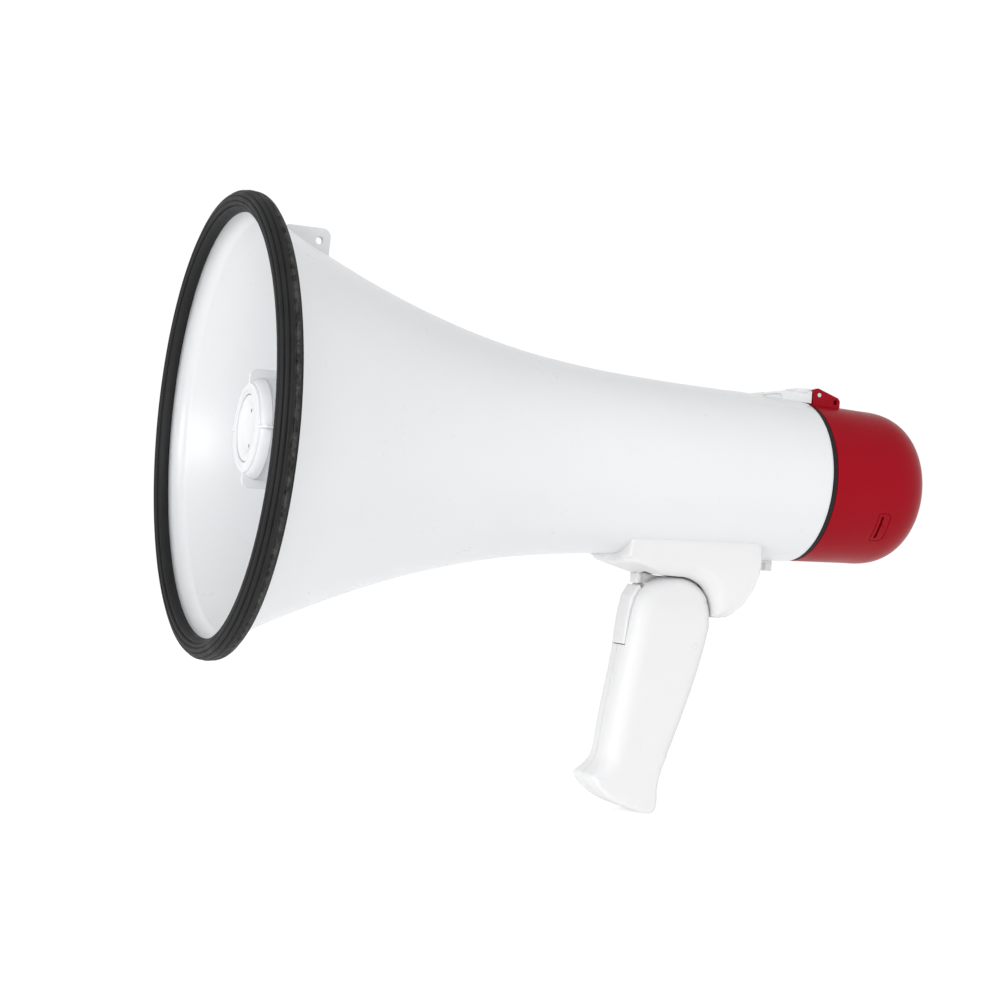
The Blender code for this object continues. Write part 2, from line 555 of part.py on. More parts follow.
# ---------------------------------------------------------------- folding grip
def grip_edges():
    front = [(230.5, -52.8), (227.4, -53.2), (222.8, -55.0), (218.8, -57.8), (216.2, -61.0)]
    front += [(214.5, -65.0), (213.4, -69.0), (212.9, -72.0), (211.6, -82.0), (210.0, -94.0)]
    front += [(208.3, -106.0), (206.4, -118.0), (204.9, -130.0), (203.9, -139.5)]
    front += [(200.5, -145.0), (196.6, -148.8), (194.9, -151.2), (195.8, -153.6)]
    front += [(202.0, -158.9), (209.5, -162.8)]
    back = [(233.8, -52.9)] + arc(PIVOT, GRIP_TOP_R, 6.0, 88.0, 6)
    back += [(256.0, -73.2), (253.9, -84.0), (251.2, -96.0), (247.2, -110.0), (242.9, -123.6)]
    back += [(238.6, -136.0), (234.3, -147.1), (232.0, -155.7), (232.3, -161.0)]
    back += [(231.6, -165.6), (229.8, -168.0), (225.5, -167.6), (219.0, -165.9)]
    return front, back


def grip_half(side, inset, first, last, parting):
    """Half of the grip solid on one side of its parting plane, drawn inwards by an inset."""
    front, back = grip_edges()
    rows = []
    for (fx, fz), (bx, bz) in list(zip(front, back))[first:last]:
        span = Vector((bx - fx, bz - fz))
        length = span.length
        span.normalize()
        half = GRIP_HALF - inset
        start = inset
        end = length - inset
        front_r = min(9.5 - inset, (end - start) * 0.45)
        back_r = min(5.0 - inset * 0.7, (end - start) * 0.35)
        flat = [(start, parting)]
        for k in range(6):
            a = math.radians(90.0 * k / 5)
            flat.append((start + front_r * (1 - math.cos(a)), half - front_r * (1 - math.sin(a))))
        for k in range(5):
            a = math.radians(90.0 * k / 4)
            flat.append((end - back_r * (1 - math.sin(a)), half - back_r * (1 - math.cos(a))))
        flat.append((end, parting))
        rows.append([(fx + span.x * u, side * v, fz + span.y * u) for u, v in flat])
    return loft(rows)


def build_grip():
    px, pz = PIVOT
    pivot = (px, 0.0, pz)
    for name, side in (("handle_shell_left", -1), ("handle_shell_right", 1)):
        shell = piece(name, grip_half(side, 0.0, 0, 20, PARTING), GRIP_WHITE, pivot)
        cut(shell, grip_half(side, 2.3, 3, 17, -1.0))
        near, far = sorted((side * 6.6, side * 11.6))
        posts = [rod(5.4, near, far, "Y", pivot, 18)]
        near, far = sorted((side * 0.3, side * 11.6))
        posts += [rod(3.3, near, far, "Y", (x, 0.0, z), 12) for x, z in GRIP_SCREWS]
        near, far = sorted((side * 6.9, side * 9.6))
        posts.append(rod(3.2, near, far, "Y", (TRIGGER_PIN[0], 0.0, TRIGGER_PIN[1]), 12))
        join(shell, merged(*posts))

        low, high = sorted((-side * 0.4, side * 6.7))
        top = [(205.0, -88.0), (221.0, -88.0), (221.0, -60.0), (262.0, -60.0), (262.0, -45.0)]
        top += [(205.0, -45.0)]
        cut(shell, prism(top, "Y", low, high))
        low, high = sorted((side * 5.0, side * 11.2))
        drill = [rod(2.7, low, high, "Y", pivot, 18)]
        low, high = sorted((side * 5.0, side * 9.1))
        drill.append(rod(1.7, low, high, "Y", (TRIGGER_PIN[0], 0.0, TRIGGER_PIN[1]), 10))
        if side < 0:
            drill += [rod(1.5, -10.4, 1.0, "Y", (x, 0.0, z), 8) for x, z in GRIP_SCREWS]
        else:
            drill += [rod(1.7, -1.0, 14.0, "Y", (x, 0.0, z), 8) for x, z in GRIP_SCREWS]
        cut(shell, merged(*drill))
        if side > 0:
            cut(shell, merged(*[rod(3.0, 10.6, 14.0, "Y", (x, 0.0, z), 12)
                                for x, z in GRIP_SCREWS]))

    piece("handle_pivot_pin", rod(2.5, -11.0, 11.0, "Y", pivot, 20), STEEL)
    for number, (x, z) in enumerate(GRIP_SCREWS, 1):
        profile = [(-9.8, 0.0), (-9.8, 1.3), (10.9, 1.3), (10.9, 2.7), (12.4, 2.6), (12.7, 0.0)]
        bm = lathe(profile, 14, "Y", (x, 0.0, z), closed=False)
        piece(f"handle_screw_{number}", bm, STEEL)

    pin = (TRIGGER_PIN[0], 0.0, TRIGGER_PIN[1])
    face = [(218.2, -57.2), (215.7, -59.8), (213.9, -62.6), (212.6, -66.6), (211.6, -73.0)]
    face += [(210.9, -80.0), (210.6, -87.3), (214.0, -87.5), (219.2, -86.0), (220.0, -62.0)]
    trigger = piece("trigger", prism(face, "Y", -6.35, 6.35), GRIP_WHITE, pin)
    web = [(217.6, -61.0), (217.4, -53.1), (226.5, -53.1), (226.5, -60.5), (219.5, -66.0)]
    join(trigger, prism(web, "Y", -2.4, 2.4))
    cut(trigger, rod(1.75, -8.0, 8.0, "Y", pin, 16))
    cut(trigger, box((213.2, -3.4, -90.0), (226.0, 3.4, -79.6)))
    piece("trigger_pin", rod(1.5, -8.9, 8.9, "Y", pin, 10), STEEL)
    switch = piece("trigger_switch", box((222.4, -3.2, -80.0), (228.2, 3.2, -66.8)), DARK)
    cut(switch, rod(1.2, 220.0, 225.6, "X", (0.0, 0.0, -74.0), 12))
    piece("switch_plunger", rod(0.9, 220.7, 224.4, "X", (0.0, 0.0, -74.0), 12), DARK,
          (220.6, 0.0, -74.0))

    coil = []
    turns = 3
    for i in range(turns * 10 + 1):
        a = math.tau * i / 10
        coil.append(Vector((pin[0] + 2.5 * math.cos(a), -2.2 + 4.4 * i / (turns * 10),
                            pin[2] + 2.5 * math.sin(a))))
    coil = [Vector((pin[0] + 8.5, -2.2, pin[2] - 4.6))] + coil
    coil.append(Vector((pin[0] + 4.4, 2.4, pin[2] + 2.6)))
    swept("trigger_spring", coil, 0.35, pin)


build_horn()
build_driver()
build_power()
build_cap()
build_latch()
build_saddle()
build_grip()
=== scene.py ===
"""Studio view of the hand-held megaphone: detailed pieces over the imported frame."""
import math

import bmesh
import bpy
import numpy as np
from mathutils import Matrix, Vector
from mathutils.geometry import delaunay_2d_cdt


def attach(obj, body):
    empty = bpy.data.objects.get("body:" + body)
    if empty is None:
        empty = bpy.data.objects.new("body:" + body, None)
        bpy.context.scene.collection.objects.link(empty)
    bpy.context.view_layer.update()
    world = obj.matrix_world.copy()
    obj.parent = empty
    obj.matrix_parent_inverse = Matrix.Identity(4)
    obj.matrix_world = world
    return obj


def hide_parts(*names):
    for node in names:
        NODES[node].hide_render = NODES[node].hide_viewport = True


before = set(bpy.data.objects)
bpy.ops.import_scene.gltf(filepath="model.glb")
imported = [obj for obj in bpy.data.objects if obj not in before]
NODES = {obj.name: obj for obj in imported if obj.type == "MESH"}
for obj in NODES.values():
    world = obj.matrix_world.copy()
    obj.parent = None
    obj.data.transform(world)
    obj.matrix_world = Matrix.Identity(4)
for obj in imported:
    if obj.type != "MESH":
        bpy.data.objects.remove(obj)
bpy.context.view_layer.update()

# Shapes are laid out in millimetres in the horn's frame: x from mouth to rear, z up.
MM = 0.001
SHIFT = Vector((184.7, 0.0, -168.0))
PIVOT = (236.5, -71.3)
HINGE = (309.1, 44.2)
LATCH_PIN = (287.0, -36.6)
TRIGGER_PIN = (216.6, -83.6)
KNOB_YZ = (15.0, -19.0)
BUTTON_YZ = (14.5, 18.5)
GRILLE_YZ = (0.0, 4.0)
SADDLE_SCREWS_X = (203.0, 268.0)
HINGE_SCREW_X = 291.0
GRIP_SCREWS = ((247.6, -85.8), (222.0, -119.0), (213.5, -153.0))
DISH_SCREW_Z = 8.0

# Half widths: the saddle, the cap's ears with the hinge bracket, and the saddle's prongs.
SADDLE_HALF = 24.7
EAR_HALF = 9.75
PRONG_HALF = 6.3

# The cap's section is a slightly tapered skirt, then a superelliptic dome. Its mode slot is
# turned about the horn's axis from the top of the skirt.
CAP_FRONT, CAP_SHOULDER, CAP_END = 304.2, 337.5, 367.1
CAP_RADIUS, SHOULDER_RADIUS = 40.2, 39.15
CAP_TAPER = 0.0315
DOME_POWER = 2.72
SLOT_X = 335.4
SLOT_TURN = math.radians(122.0)

WELD = 0.002


# ---------------------------------------------------------------- geometry helpers
def finish_mesh(name, bm, mat, angle=35.0):
    """Turn a mesh laid out in millimetres into an object in metres, smooth up to the angle."""
    bmesh.ops.remove_doubles(bm, verts=bm.verts, dist=WELD)
    bmesh.ops.recalc_face_normals(bm, faces=bm.faces)
    for vert in bm.verts:
        vert.co = (vert.co - SHIFT) * MM
    mesh = bpy.data.meshes.new(name)
    bm.to_mesh(mesh)
    bm.free()
    mesh.shade_smooth()
    mesh.set_sharp_from_angle(angle=math.radians(angle))
    mesh.materials.append(mat)
    obj = bpy.data.objects.new(name, mesh)
    bpy.context.scene.collection.objects.link(obj)
    return obj


def place(obj, body, slot, *nodes):
    """Tie a piece to its body, in the place of the CAD nodes it shows; the slot argument is not used."""
    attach(obj, body)
    if nodes:
        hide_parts(*nodes)
    return obj


def join_rings(bm, pairs, steps):
    """Faces between each pair of rings; a ring of one vertex is a pole."""
    for a, b in pairs:
        for k in range(steps):
            quad = [a[k % len(a)], a[(k + 1) % len(a)], b[(k + 1) % len(b)], b[k % len(b)]]
            quad = list(dict.fromkeys(quad))
            if len(quad) > 2:
                bm.faces.new(quad)


def lathe(profile, steps, axis="X", centre=(0.0, 0.0, 0.0), closed=True):
    """Turn (along, radius) points about an axis; radius 0 collapses to a pole."""
    bm = bmesh.new()
    rings = []
    for along, radius in profile:
        ring = []
        for k in range(steps if radius > 1e-6 else 1):
            a = math.tau * k / steps
            c, s = radius * math.cos(a), radius * math.sin(a)
            co = {"X": (along, s, c), "Y": (c, along, s), "Z": (c, s, along)}[axis]
            ring.append(bm.verts.new(Vector(co) + Vector(centre)))
        rings.append(ring)
    pairs = list(zip(rings, rings[1:]))
    if closed:
        pairs.append((rings[-1], rings[0]))
    join_rings(bm, pairs, steps)
    return bm


def rod(low, high, radius, steps, axis="X", centre=(0.0, 0.0, 0.0)):
    """A closed cylinder along an axis, from low to high."""
    return lathe([(low, 0.0), (low, radius), (high, radius), (high, 0.0)], steps, axis, centre, False)


def spline(points, per):
    """A curve through the points: centripetal-like Catmull-Rom, per pieces a span."""
    pts = [np.array(p, float) for p in points]
    pts = [2 * pts[0] - pts[1]] + pts + [2 * pts[-1] - pts[-2]]
    out = []
    for i in range(1, len(pts) - 2):
        p0, p1, p2, p3 = pts[i - 1 : i + 3]
        d1, d2, d3 = (max(np.linalg.norm(b - a), 1e-6) for a, b in ((p0, p1), (p1, p2), (p2, p3)))
        m1 = ((p1 - p0) / d1 * d2 + (p2 - p1) / d2 * d1) / (d1 + d2) * d2
        m2 = ((p2 - p1) / d2 * d3 + (p3 - p2) / d3 * d2) / (d2 + d3) * d2
        for k in range(per):
            t = k / per
            out.append((2 * t**3 - 3 * t**2 + 1) * p1 + (t**3 - 2 * t**2 + t) * m1
                       + (3 * t**2 - 2 * t**3) * p2 + (t**3 - t**2) * m2)
    out.append(pts[-2])
    return [tuple(map(float, p)) for p in out]


def filleted(corners, count=6):
    """Round the corners of a closed outline; each corner is (x, z, radius)."""
    out = []
    n = len(corners)
    for i, (x, z, r) in enumerate(corners):
        here = Vector((x, z))
        before = Vector(corners[i - 1][:2]) - here
        after = Vector(corners[(i + 1) % n][:2]) - here
        if r <= 0.0:
            out.append((x, z))
            continue
        half = before.angle(after) / 2
        reach = min(r / math.tan(half), before.length * 0.49, after.length * 0.49)
        r = reach * math.tan(half)
        p, q = here + before.normalized() * reach, here + after.normalized() * reach
        centre = here + (before.normalized() + after.normalized()).normalized() * (r / math.sin(half))
        a, b = p - centre, q - centre
        for k in range(count + 1):
            t = k / count
            v = (a * (1 - t) + b * t)
            out.append(tuple(centre + v.normalized() * r))
    return out


def resample(outline, step):
    """Split the edges of a closed outline into pieces of about one step."""
    out = []
    for (x0, z0), (x1, z1) in zip(outline, outline[1:] + outline[:1]):
        n = max(1, round(math.hypot(x1 - x0, z1 - z0) / step))
        out += [(x0 + (x1 - x0) * k / n, z0 + (z1 - z0) * k / n) for k in range(n)]
    return out


def segment_distance(points, outline, used):
    """Distance from points to the used edges of a closed outline, and the nearest edge."""
    pts = np.asarray(points, float)
    a = np.asarray(outline, float)
    b = np.roll(a, -1, axis=0)
    a, b = a[used], b[used]
    d = b - a
    t = ((pts[:, None, :] - a) * d).sum(2) / np.maximum((d * d).sum(1), 1e-12)
    near = a + d * np.clip(t, 0, 1)[:, :, None]
    dist = np.linalg.norm(pts[:, None, :] - near, axis=2)
    best = dist.argmin(1)
    return dist[np.arange(len(pts)), best], np.flatnonzero(used)[best]


def inside(points, outline):
    """Which points lie inside a closed outline, by crossings."""
    pts = np.asarray(points, float)
    a = np.asarray(outline, float)
    b = np.roll(a, -1, axis=0)
    x, z = pts[:, :1], pts[:, 1:]
    span = (a[:, 1] > z) != (b[:, 1] > z)
    height = np.where(b[:, 1] == a[:, 1], 1e-9, b[:, 1] - a[:, 1])
    cross = a[:, 0] + (z - a[:, 1]) / height * (b[:, 0] - a[:, 0])
    return (span & (x < cross)).sum(1) % 2 == 1


def pillow(outline, half, round_in, round_y, step, rounded=None, cuts=(), low=None, levels=7):
    """A solid seen along y as the outline. Its faces stand at y = +-half(x, z), and fall away
    over round_in towards each rounded edge by round_y. With low set, only the +y half is made,
    down to y = low."""
    edge = resample(outline, step)
    n = len(edge)
    middle = [((edge[i][0] + edge[(i + 1) % n][0]) / 2, (edge[i][1] + edge[(i + 1) % n][1]) / 2)
              for i in range(n)]
    used = np.array([rounded is None or rounded(*m) for m in middle])
    r_in = np.array([round_in(*m) if callable(round_in) else round_in for m in middle])
    r_y = np.array([round_y(*m) if callable(round_y) else round_y for m in middle])

    xs, zs = [p[0] for p in edge], [p[1] for p in edge]
    grid = [(x, z) for x in np.arange(min(xs) + step / 2, max(xs), step)
            for z in np.arange(min(zs) + step / 2, max(zs), step)]
    grid += [(x, z) for x in cuts for z in np.arange(min(zs) + step / 2, max(zs), step)]
    grid = [p for p, ok in zip(grid, inside(grid, edge)) if ok]
    extra = []
    turn = 1 if sum(x0 * z1 - x1 * z0 for (x0, z0), (x1, z1) in zip(edge, edge[1:] + edge[:1])) > 0 else -1
    for i in range(n):
        if not (used[i] and used[i - 1]):
            continue
        tangent = Vector(edge[(i + 1) % n]) - Vector(edge[i - 1])
        normal = Vector((-tangent.y, tangent.x)).normalized() * turn
        for k in range(1, levels + 1):
            d = r_in[i] * (1 - math.cos(math.radians(90 * k / levels)))
            extra.append((*(Vector(edge[i]) + normal * d), d))
    if extra:
        dist, _ = segment_distance([p[:2] for p in extra], edge, np.ones(n, bool))
        ok = inside([p[:2] for p in extra], edge)
        extra = [p for p, d, o in zip(extra, dist, ok) if o and d > p[2] * 0.985]
    whole, _ = segment_distance(grid, edge, np.ones(n, bool))
    if used.any():
        dist, which = segment_distance(grid, edge, used)
        keep = (whole > step * 0.45) & (dist > r_in[which] * 1.02)
    else:
        keep = whole > step * 0.45
    points = edge + [p[:2] for p in extra] + [p for p, k in zip(grid, keep) if k]
    flat, _, tris, _, _, _ = delaunay_2d_cdt([Vector(p) for p in points],
                                             [(i, (i + 1) % n) for i in range(n)], [], 1, 1e-5)
    flat = [tuple(v) for v in flat]
    tops = []
    if used.any():
        dist, which = segment_distance(flat, edge, used)
        for (x, z), d, w in zip(flat, dist, which):
            top = half(x, z) if callable(half) else half
            u = min(1.0, max(0.0, d / max(r_in[w], 1e-6)))
            tops.append(top - r_y[w] * (1 - math.sqrt(max(0.0, 1 - (1 - u) ** 2))))
    else:
        tops = [half(x, z) if callable(half) else half for x, z in flat]
    bm = bmesh.new()
    upper = [bm.verts.new((x, t, z)) for (x, z), t in zip(flat, tops)]
    if low is None:
        lower = [bm.verts.new((x, -t, z)) for (x, z), t in zip(flat, tops)]
    else:
        lower = [bm.verts.new((x, low, z)) for x, z in flat]
    count = {}
    for tri in tris:
        bm.faces.new([upper[i] for i in tri])
        bm.faces.new([lower[i] for i in reversed(tri)])
        for a, b in ((tri[0], tri[1]), (tri[1], tri[2]), (tri[2], tri[0])):
            count[frozenset((a, b))] = (a, b) if frozenset((a, b)) not in count else None
    for pair in count.values():
        if pair:
            a, b = pair
            bm.faces.new([upper[b], upper[a], lower[a], lower[b]])
    return bm


def plate(outline, holes, y0, y1, edge):
    """A flat plate between y0 and y1 with rounded rims; holes are (x, z, radius)."""
    curve = bpy.data.curves.new("plate", "CURVE")
    curve.dimensions = "2D"
    curve.fill_mode = "BOTH"
    curve.extrude = abs(y1 - y0) / 2 - edge
    curve.bevel_depth = edge
    curve.bevel_resolution = 3
    curve.offset = -edge
    loops = [outline]
    for hx, hz, r in holes:
        loops.append([(hx + r * math.cos(math.tau * k / 32), hz + r * math.sin(math.tau * k / 32))
                      for k in range(32)])
    for loop in loops:
        line = curve.splines.new("POLY")
        line.points.add(len(loop) - 1)
        line.use_cyclic_u = True
        for slot, (x, z) in zip(line.points, loop):
            slot.co = (x, z, 0.0, 1.0)
    holder = bpy.data.objects.new("plate", curve)
    bpy.context.scene.collection.objects.link(holder)
    mesh = bpy.data.meshes.new_from_object(holder.evaluated_get(bpy.context.evaluated_depsgraph_get()))
    bm = bmesh.new()
    bm.from_mesh(mesh)
    bpy.data.objects.remove(holder, do_unlink=True)
    bpy.data.curves.remove(curve)
    bpy.data.meshes.remove(mesh)
    for vert in bm.verts:
        x, z, y = vert.co
        vert.co = (x, (y0 + y1) / 2 - y, z)
    return bm


def box(low, high):
    bm = bmesh.new()
    bmesh.ops.create_cube(bm, size=1.0)
    for vert in bm.verts:
        vert.co = [a + (b - a) * (c + 0.5) for a, b, c in zip(low, high, vert.co)]
    return bm


def turned(bm, angle):
    """Turn a mesh about the horn's axis."""
    bmesh.ops.transform(bm, matrix=Matrix.Rotation(angle, 4, "X"), verts=bm.verts)
    return bm


def merged(*parts):
    """One mesh that holds all the parts, which are freed."""
    whole = bmesh.new()
    for part in parts:
        mesh = bpy.data.meshes.new("part")
        part.to_mesh(mesh)
        part.free()
        whole.from_mesh(mesh)
        bpy.data.meshes.remove(mesh)
    return whole


def boolean(obj, tool_bm, operation="DIFFERENCE", solver="EXACT", angle=35.0):
    """Cut or join now, so that no modifier or tool is left on the piece."""
    tool = finish_mesh("tool", tool_bm, obj.data.materials[0])
    mod = obj.modifiers.new("tool", "BOOLEAN")
    mod.operation, mod.solver, mod.object = operation, solver, tool
    made = bpy.data.meshes.new_from_object(obj.evaluated_get(bpy.context.evaluated_depsgraph_get()))
    obj.modifiers.clear()
    obj.data = made
    made.name = obj.name
    bpy.data.objects.remove(tool, do_unlink=True)
    made.shade_smooth()
    made.set_sharp_from_angle(angle=math.radians(angle))


def soften(obj, width):
    """Round the sharp edges with a bevel of the given width."""
    mod = obj.modifiers.new("edges", "BEVEL")
    mod.width = width * MM
    mod.segments = 3
    mod.limit_method = "ANGLE"
    mod.angle_limit = math.radians(30.0)
    mod.harden_normals = True
    return obj


# ---------------------------------------------------------------- materials
class Nodes:
    """Small wrapper that adds and links shader nodes."""

    def __init__(self, name, base, roughness, metallic=0.0):
        self.mat = bpy.data.materials.new(name)
        self.mat.use_nodes = True
        self.tree = self.mat.node_tree
        self.shader = self.tree.nodes["Principled BSDF"]
        self.shader.inputs["Base Color"].default_value = (*base, 1.0)
        self.shader.inputs["Roughness"].default_value = roughness
        self.shader.inputs["Metallic"].default_value = metallic
        self.coord = self.tree.nodes.new("ShaderNodeTexCoord").outputs["Object"]

    def add(self, kind, inputs=None, **settings):
        node = self.tree.nodes.new(kind)
        for key, value in settings.items():
            setattr(node, key, value)
        for key, value in (inputs or {}).items():
            if isinstance(value, bpy.types.NodeSocket):
                self.tree.links.new(value, node.inputs[key])
            else:
                node.inputs[key].default_value = value
        return node

    def noise(self, scale, detail=2.0, roughness=0.5, vector=None):
        return self.add("ShaderNodeTexNoise", {"Vector": vector or self.coord, "Scale": scale,
                                               "Detail": detail, "Roughness": roughness}).outputs["Fac"]

    def ramp(self, value, low, high, to_low=0.0, to_high=1.0):
        return self.add("ShaderNodeMapRange", {"Value": value, "From Min": low, "From Max": high,
                                               "To Min": to_low, "To Max": to_high}).outputs["Result"]

    def mix(self, factor, a, b):
        node = self.add("ShaderNodeMix", data_type="RGBA")
        for key, value in ((0, factor), (6, a), (7, b)):
            if isinstance(value, bpy.types.NodeSocket):
                self.tree.links.new(value, node.inputs[key])
            else:
                node.inputs[key].default_value = value if key == 0 else (*value, 1.0)
        return node.outputs[2]

    def math(self, operation, a, b):
        return self.add("ShaderNodeMath", {0: a, 1: b}, operation=operation).outputs[0]

    def axis(self, which):
        return self.add("ShaderNodeSeparateXYZ", {"Vector": self.coord}).outputs[which]

    def bump(self, layers):
        """Stack bumps; each layer is (height, depth in metres)."""
        normal = None
        for height, depth in layers:
            inputs = {"Height": height, "Distance": depth, "Strength": 1.0}
            if normal:
                inputs["Normal"] = normal
            normal = self.add("ShaderNodeBump", inputs).outputs["Normal"]
        self.tree.links.new(normal, self.shader.inputs["Normal"])

    def link(self, value, name):
        self.tree.links.new(value, self.shader.inputs[name])


def moulded(name, light, dark, rough, grain, grain_depth, subsurface=0.0, gloss=0.5):
    """Injection-moulded plastic: faint mottling, fine surface grain, scuffs and dust specks."""
    n = Nodes(name, light, rough)
    cloud = n.noise(14.0, 3.0, 0.55)
    fine = n.noise(grain, 2.0, 0.6)
    specks = n.ramp(n.noise(420.0, 1.0, 0.3), 0.76, 0.81)
    tint = n.mix(n.ramp(cloud, 0.3, 0.7), light, dark)
    speck_tint = tuple(c * 0.82 for c in dark)
    n.link(n.mix(n.math("MULTIPLY", specks, 0.2), tint, speck_tint), "Base Color")
    scuff = n.noise(90.0, 5.0, 0.7)
    n.link(n.ramp(n.math("ADD", scuff, n.math("MULTIPLY", fine, 0.5)), 0.4, 1.1,
                  rough * 0.8, rough * 1.3), "Roughness")
    n.bump([(n.noise(35.0, 2.0), 0.00002), (fine, grain_depth)])
    n.shader.inputs["Specular IOR Level"].default_value = gloss
    if subsurface:
        n.shader.inputs["Subsurface Weight"].default_value = subsurface
        n.shader.inputs["Subsurface Radius"].default_value = (1.0, 0.95, 0.9)
        n.shader.inputs["Subsurface Scale"].default_value = 0.002
    return n.mat


def rubber_material(name, scuffed):
    """Matt black rubber; the rim's tread also has a worn and pitted band."""
    n = Nodes(name, (0.016, 0.016, 0.017), 0.62)
    n.shader.inputs["Specular IOR Level"].default_value = 0.22
    grain = n.noise(900.0, 3.0, 0.6)
    blotch = n.noise(60.0, 4.0, 0.6)
    tint = n.mix(n.ramp(blotch, 0.35, 0.7), (0.006, 0.006, 0.0065), (0.013, 0.013, 0.013))
    rough = n.ramp(blotch, 0.3, 0.7, 0.5, 0.72)
    layers = [(grain, 0.00006), (n.noise(180.0, 3.0, 0.6), 0.00012)]
    if scuffed:
        x = n.axis(0)
        band = n.math("MULTIPLY", n.ramp(x, -0.1795, -0.1789), n.ramp(x, -0.1764, -0.1770))
        pits = n.add("ShaderNodeTexVoronoi", {"Vector": n.coord, "Scale": 520.0}).outputs["Distance"]
        worn = n.math("MULTIPLY", band, n.ramp(n.noise(240.0, 5.0, 0.7), 0.42, 0.62))
        tint = n.mix(n.math("MULTIPLY", worn, 0.8), tint, (0.06, 0.058, 0.055))
        tint = n.mix(n.math("MULTIPLY", band, n.ramp(pits, 0.22, 0.1)), tint, (0.004, 0.004, 0.004))
        layers.append((n.math("MULTIPLY", band, n.ramp(pits, 0.05, 0.3)), 0.0003))
    n.link(tint, "Base Color")
    n.link(rough, "Roughness")
    n.bump(layers)
    return n.mat


def metal(name, base, rough):
    """Bare metal: fine grain and duller spots."""
    n = Nodes(name, base, rough, 1.0)
    streak = n.noise(700.0, 4.0, 0.6)
    spots = n.noise(130.0, 4.0, 0.65)
    dull = tuple(c * 0.62 for c in base)
    n.link(n.mix(n.ramp(spots, 0.52, 0.72), base, dull), "Base Color")
    n.link(n.ramp(n.math("ADD", streak, spots), 0.7, 1.3, rough * 0.7, rough * 1.6), "Roughness")
    n.bump([(streak, 0.000012)])
    return n.mat


def board_material():
    """Green solder mask with tracks and pads."""
    n = Nodes("solder_mask", (0.02, 0.13, 0.05), 0.35)
    tracks = n.add("ShaderNodeTexBrick", {"Vector": n.coord, "Scale": 180.0,
                                          "Color1": (0.02, 0.13, 0.05, 1.0),
                                          "Color2": (0.03, 0.17, 0.07, 1.0),
                                          "Mortar": (0.05, 0.24, 0.1, 1.0), "Mortar Size": 0.06})
    pads = n.add("ShaderNodeTexVoronoi", {"Vector": n.coord, "Scale": 260.0}).outputs["Distance"]
    n.link(n.mix(n.ramp(pads, 0.2, 0.15), (0.02, 0.13, 0.05), (0.65, 0.6, 0.5)), "Base Color")
    n.bump([(tracks.outputs["Fac"], 0.00005), (n.noise(300.0), 0.00002)])
    return n.mat


def cell_material():
    """A printed steel jacket: dark body, a plain light band near one end, long fine scratches."""
    n = Nodes("cell_jacket", (0.05, 0.06, 0.09), 0.3, 0.6)
    scratch = n.noise(500.0, 5.0, 0.7)
    wave = n.add("ShaderNodeTexWave", {"Vector": n.coord, "Scale": 9.5, "Distortion": 0.0},
                 wave_type="BANDS", bands_direction="X").outputs["Fac"]
    n.link(n.mix(n.ramp(wave, 0.9, 0.93), (0.04, 0.05, 0.08), (0.55, 0.42, 0.16)), "Base Color")
    n.link(n.ramp(scratch, 0.3, 0.7, 0.22, 0.45), "Roughness")
    n.bump([(scratch, 0.00002)])
    return n.mat


SHELL = moulded("white_shell_abs", (0.65, 0.66, 0.67), (0.632, 0.642, 0.655), 0.3, 1500.0, 0.000012, 0.12)
GRIP = moulded("grip_abs", (0.655, 0.655, 0.66), (0.637, 0.637, 0.642), 0.42, 2200.0, 0.00003, 0.12)
RED = moulded("red_abs", (0.262, 0.002, 0.009), (0.243, 0.0015, 0.007), 0.32, 2600.0, 0.00003, 0.0, 0.08)
DARK = moulded("dark_abs", (0.022, 0.022, 0.024), (0.016, 0.016, 0.018), 0.45, 2400.0, 0.00004)
RIM = rubber_material("rim_rubber", True)
SEAL = rubber_material("seal_rubber", False)
STEEL = metal("zinc_steel", (0.62, 0.62, 0.63), 0.28)
BRASS = metal("contact_brass", (0.72, 0.52, 0.22), 0.3)
COPPER = metal("coil_copper", (0.72, 0.32, 0.14), 0.35)
FERRITE = moulded("sintered_ferrite", (0.05, 0.05, 0.055), (0.035, 0.035, 0.04), 0.6, 1800.0, 0.00008)
FILM = moulded("cone_film", (0.42, 0.27, 0.1), (0.36, 0.22, 0.08), 0.35, 1500.0, 0.00002)
BOARD = board_material()
CELL = cell_material()

CARRIED = {
    SHELL: ["phase_plug", "reflector_bulkhead", "cap_latch"],
    SEAL: ["rear_gasket"],
    STEEL: ["driver_yoke", "driver_top_plate", "hinge_bracket_screw", "hinge_pin", "latch_pin",
            "latch_spring", "saddle_screw_front", "saddle_screw_rear", "handle_pivot_pin",
            "trigger_pin", "trigger_spring"],
    DARK: ["battery_carrier", "siren_switch", "mode_switch", "trigger_switch", "switch_plunger"],
    FERRITE: ["driver_magnet", "mic_capsule", "volume_control"],
    COPPER: ["voice_coil"], FILM: ["diaphragm"], BOARD: ["amplifier_board"],
    BRASS: ["contact_plate_front", "contact_plate_rear"],
    CELL: [f"battery_cell_{i}" for i in range(1, 9)],
}
for mat, names in CARRIED.items():
    for name in names:
        NODES[name].data.materials.clear()
        NODES[name].data.materials.append(mat)


# ---------------------------------------------------------------- horn and rim
HORN = spline([(11.0, 97.1), (25.0, 89.4), (45.0, 80.4), (70.0, 70.2), (100.0, 60.15), (140.0, 50.45),
               (180.0, 45.2), (220.0, 42.9), (260.0, 41.9), (299.5, 40.7)], 10)


def horn_radius(x):
    """The horn's outer radius at x."""
    return float(np.interp(x, [p[0] for p in HORN], [p[1] for p in HORN]))


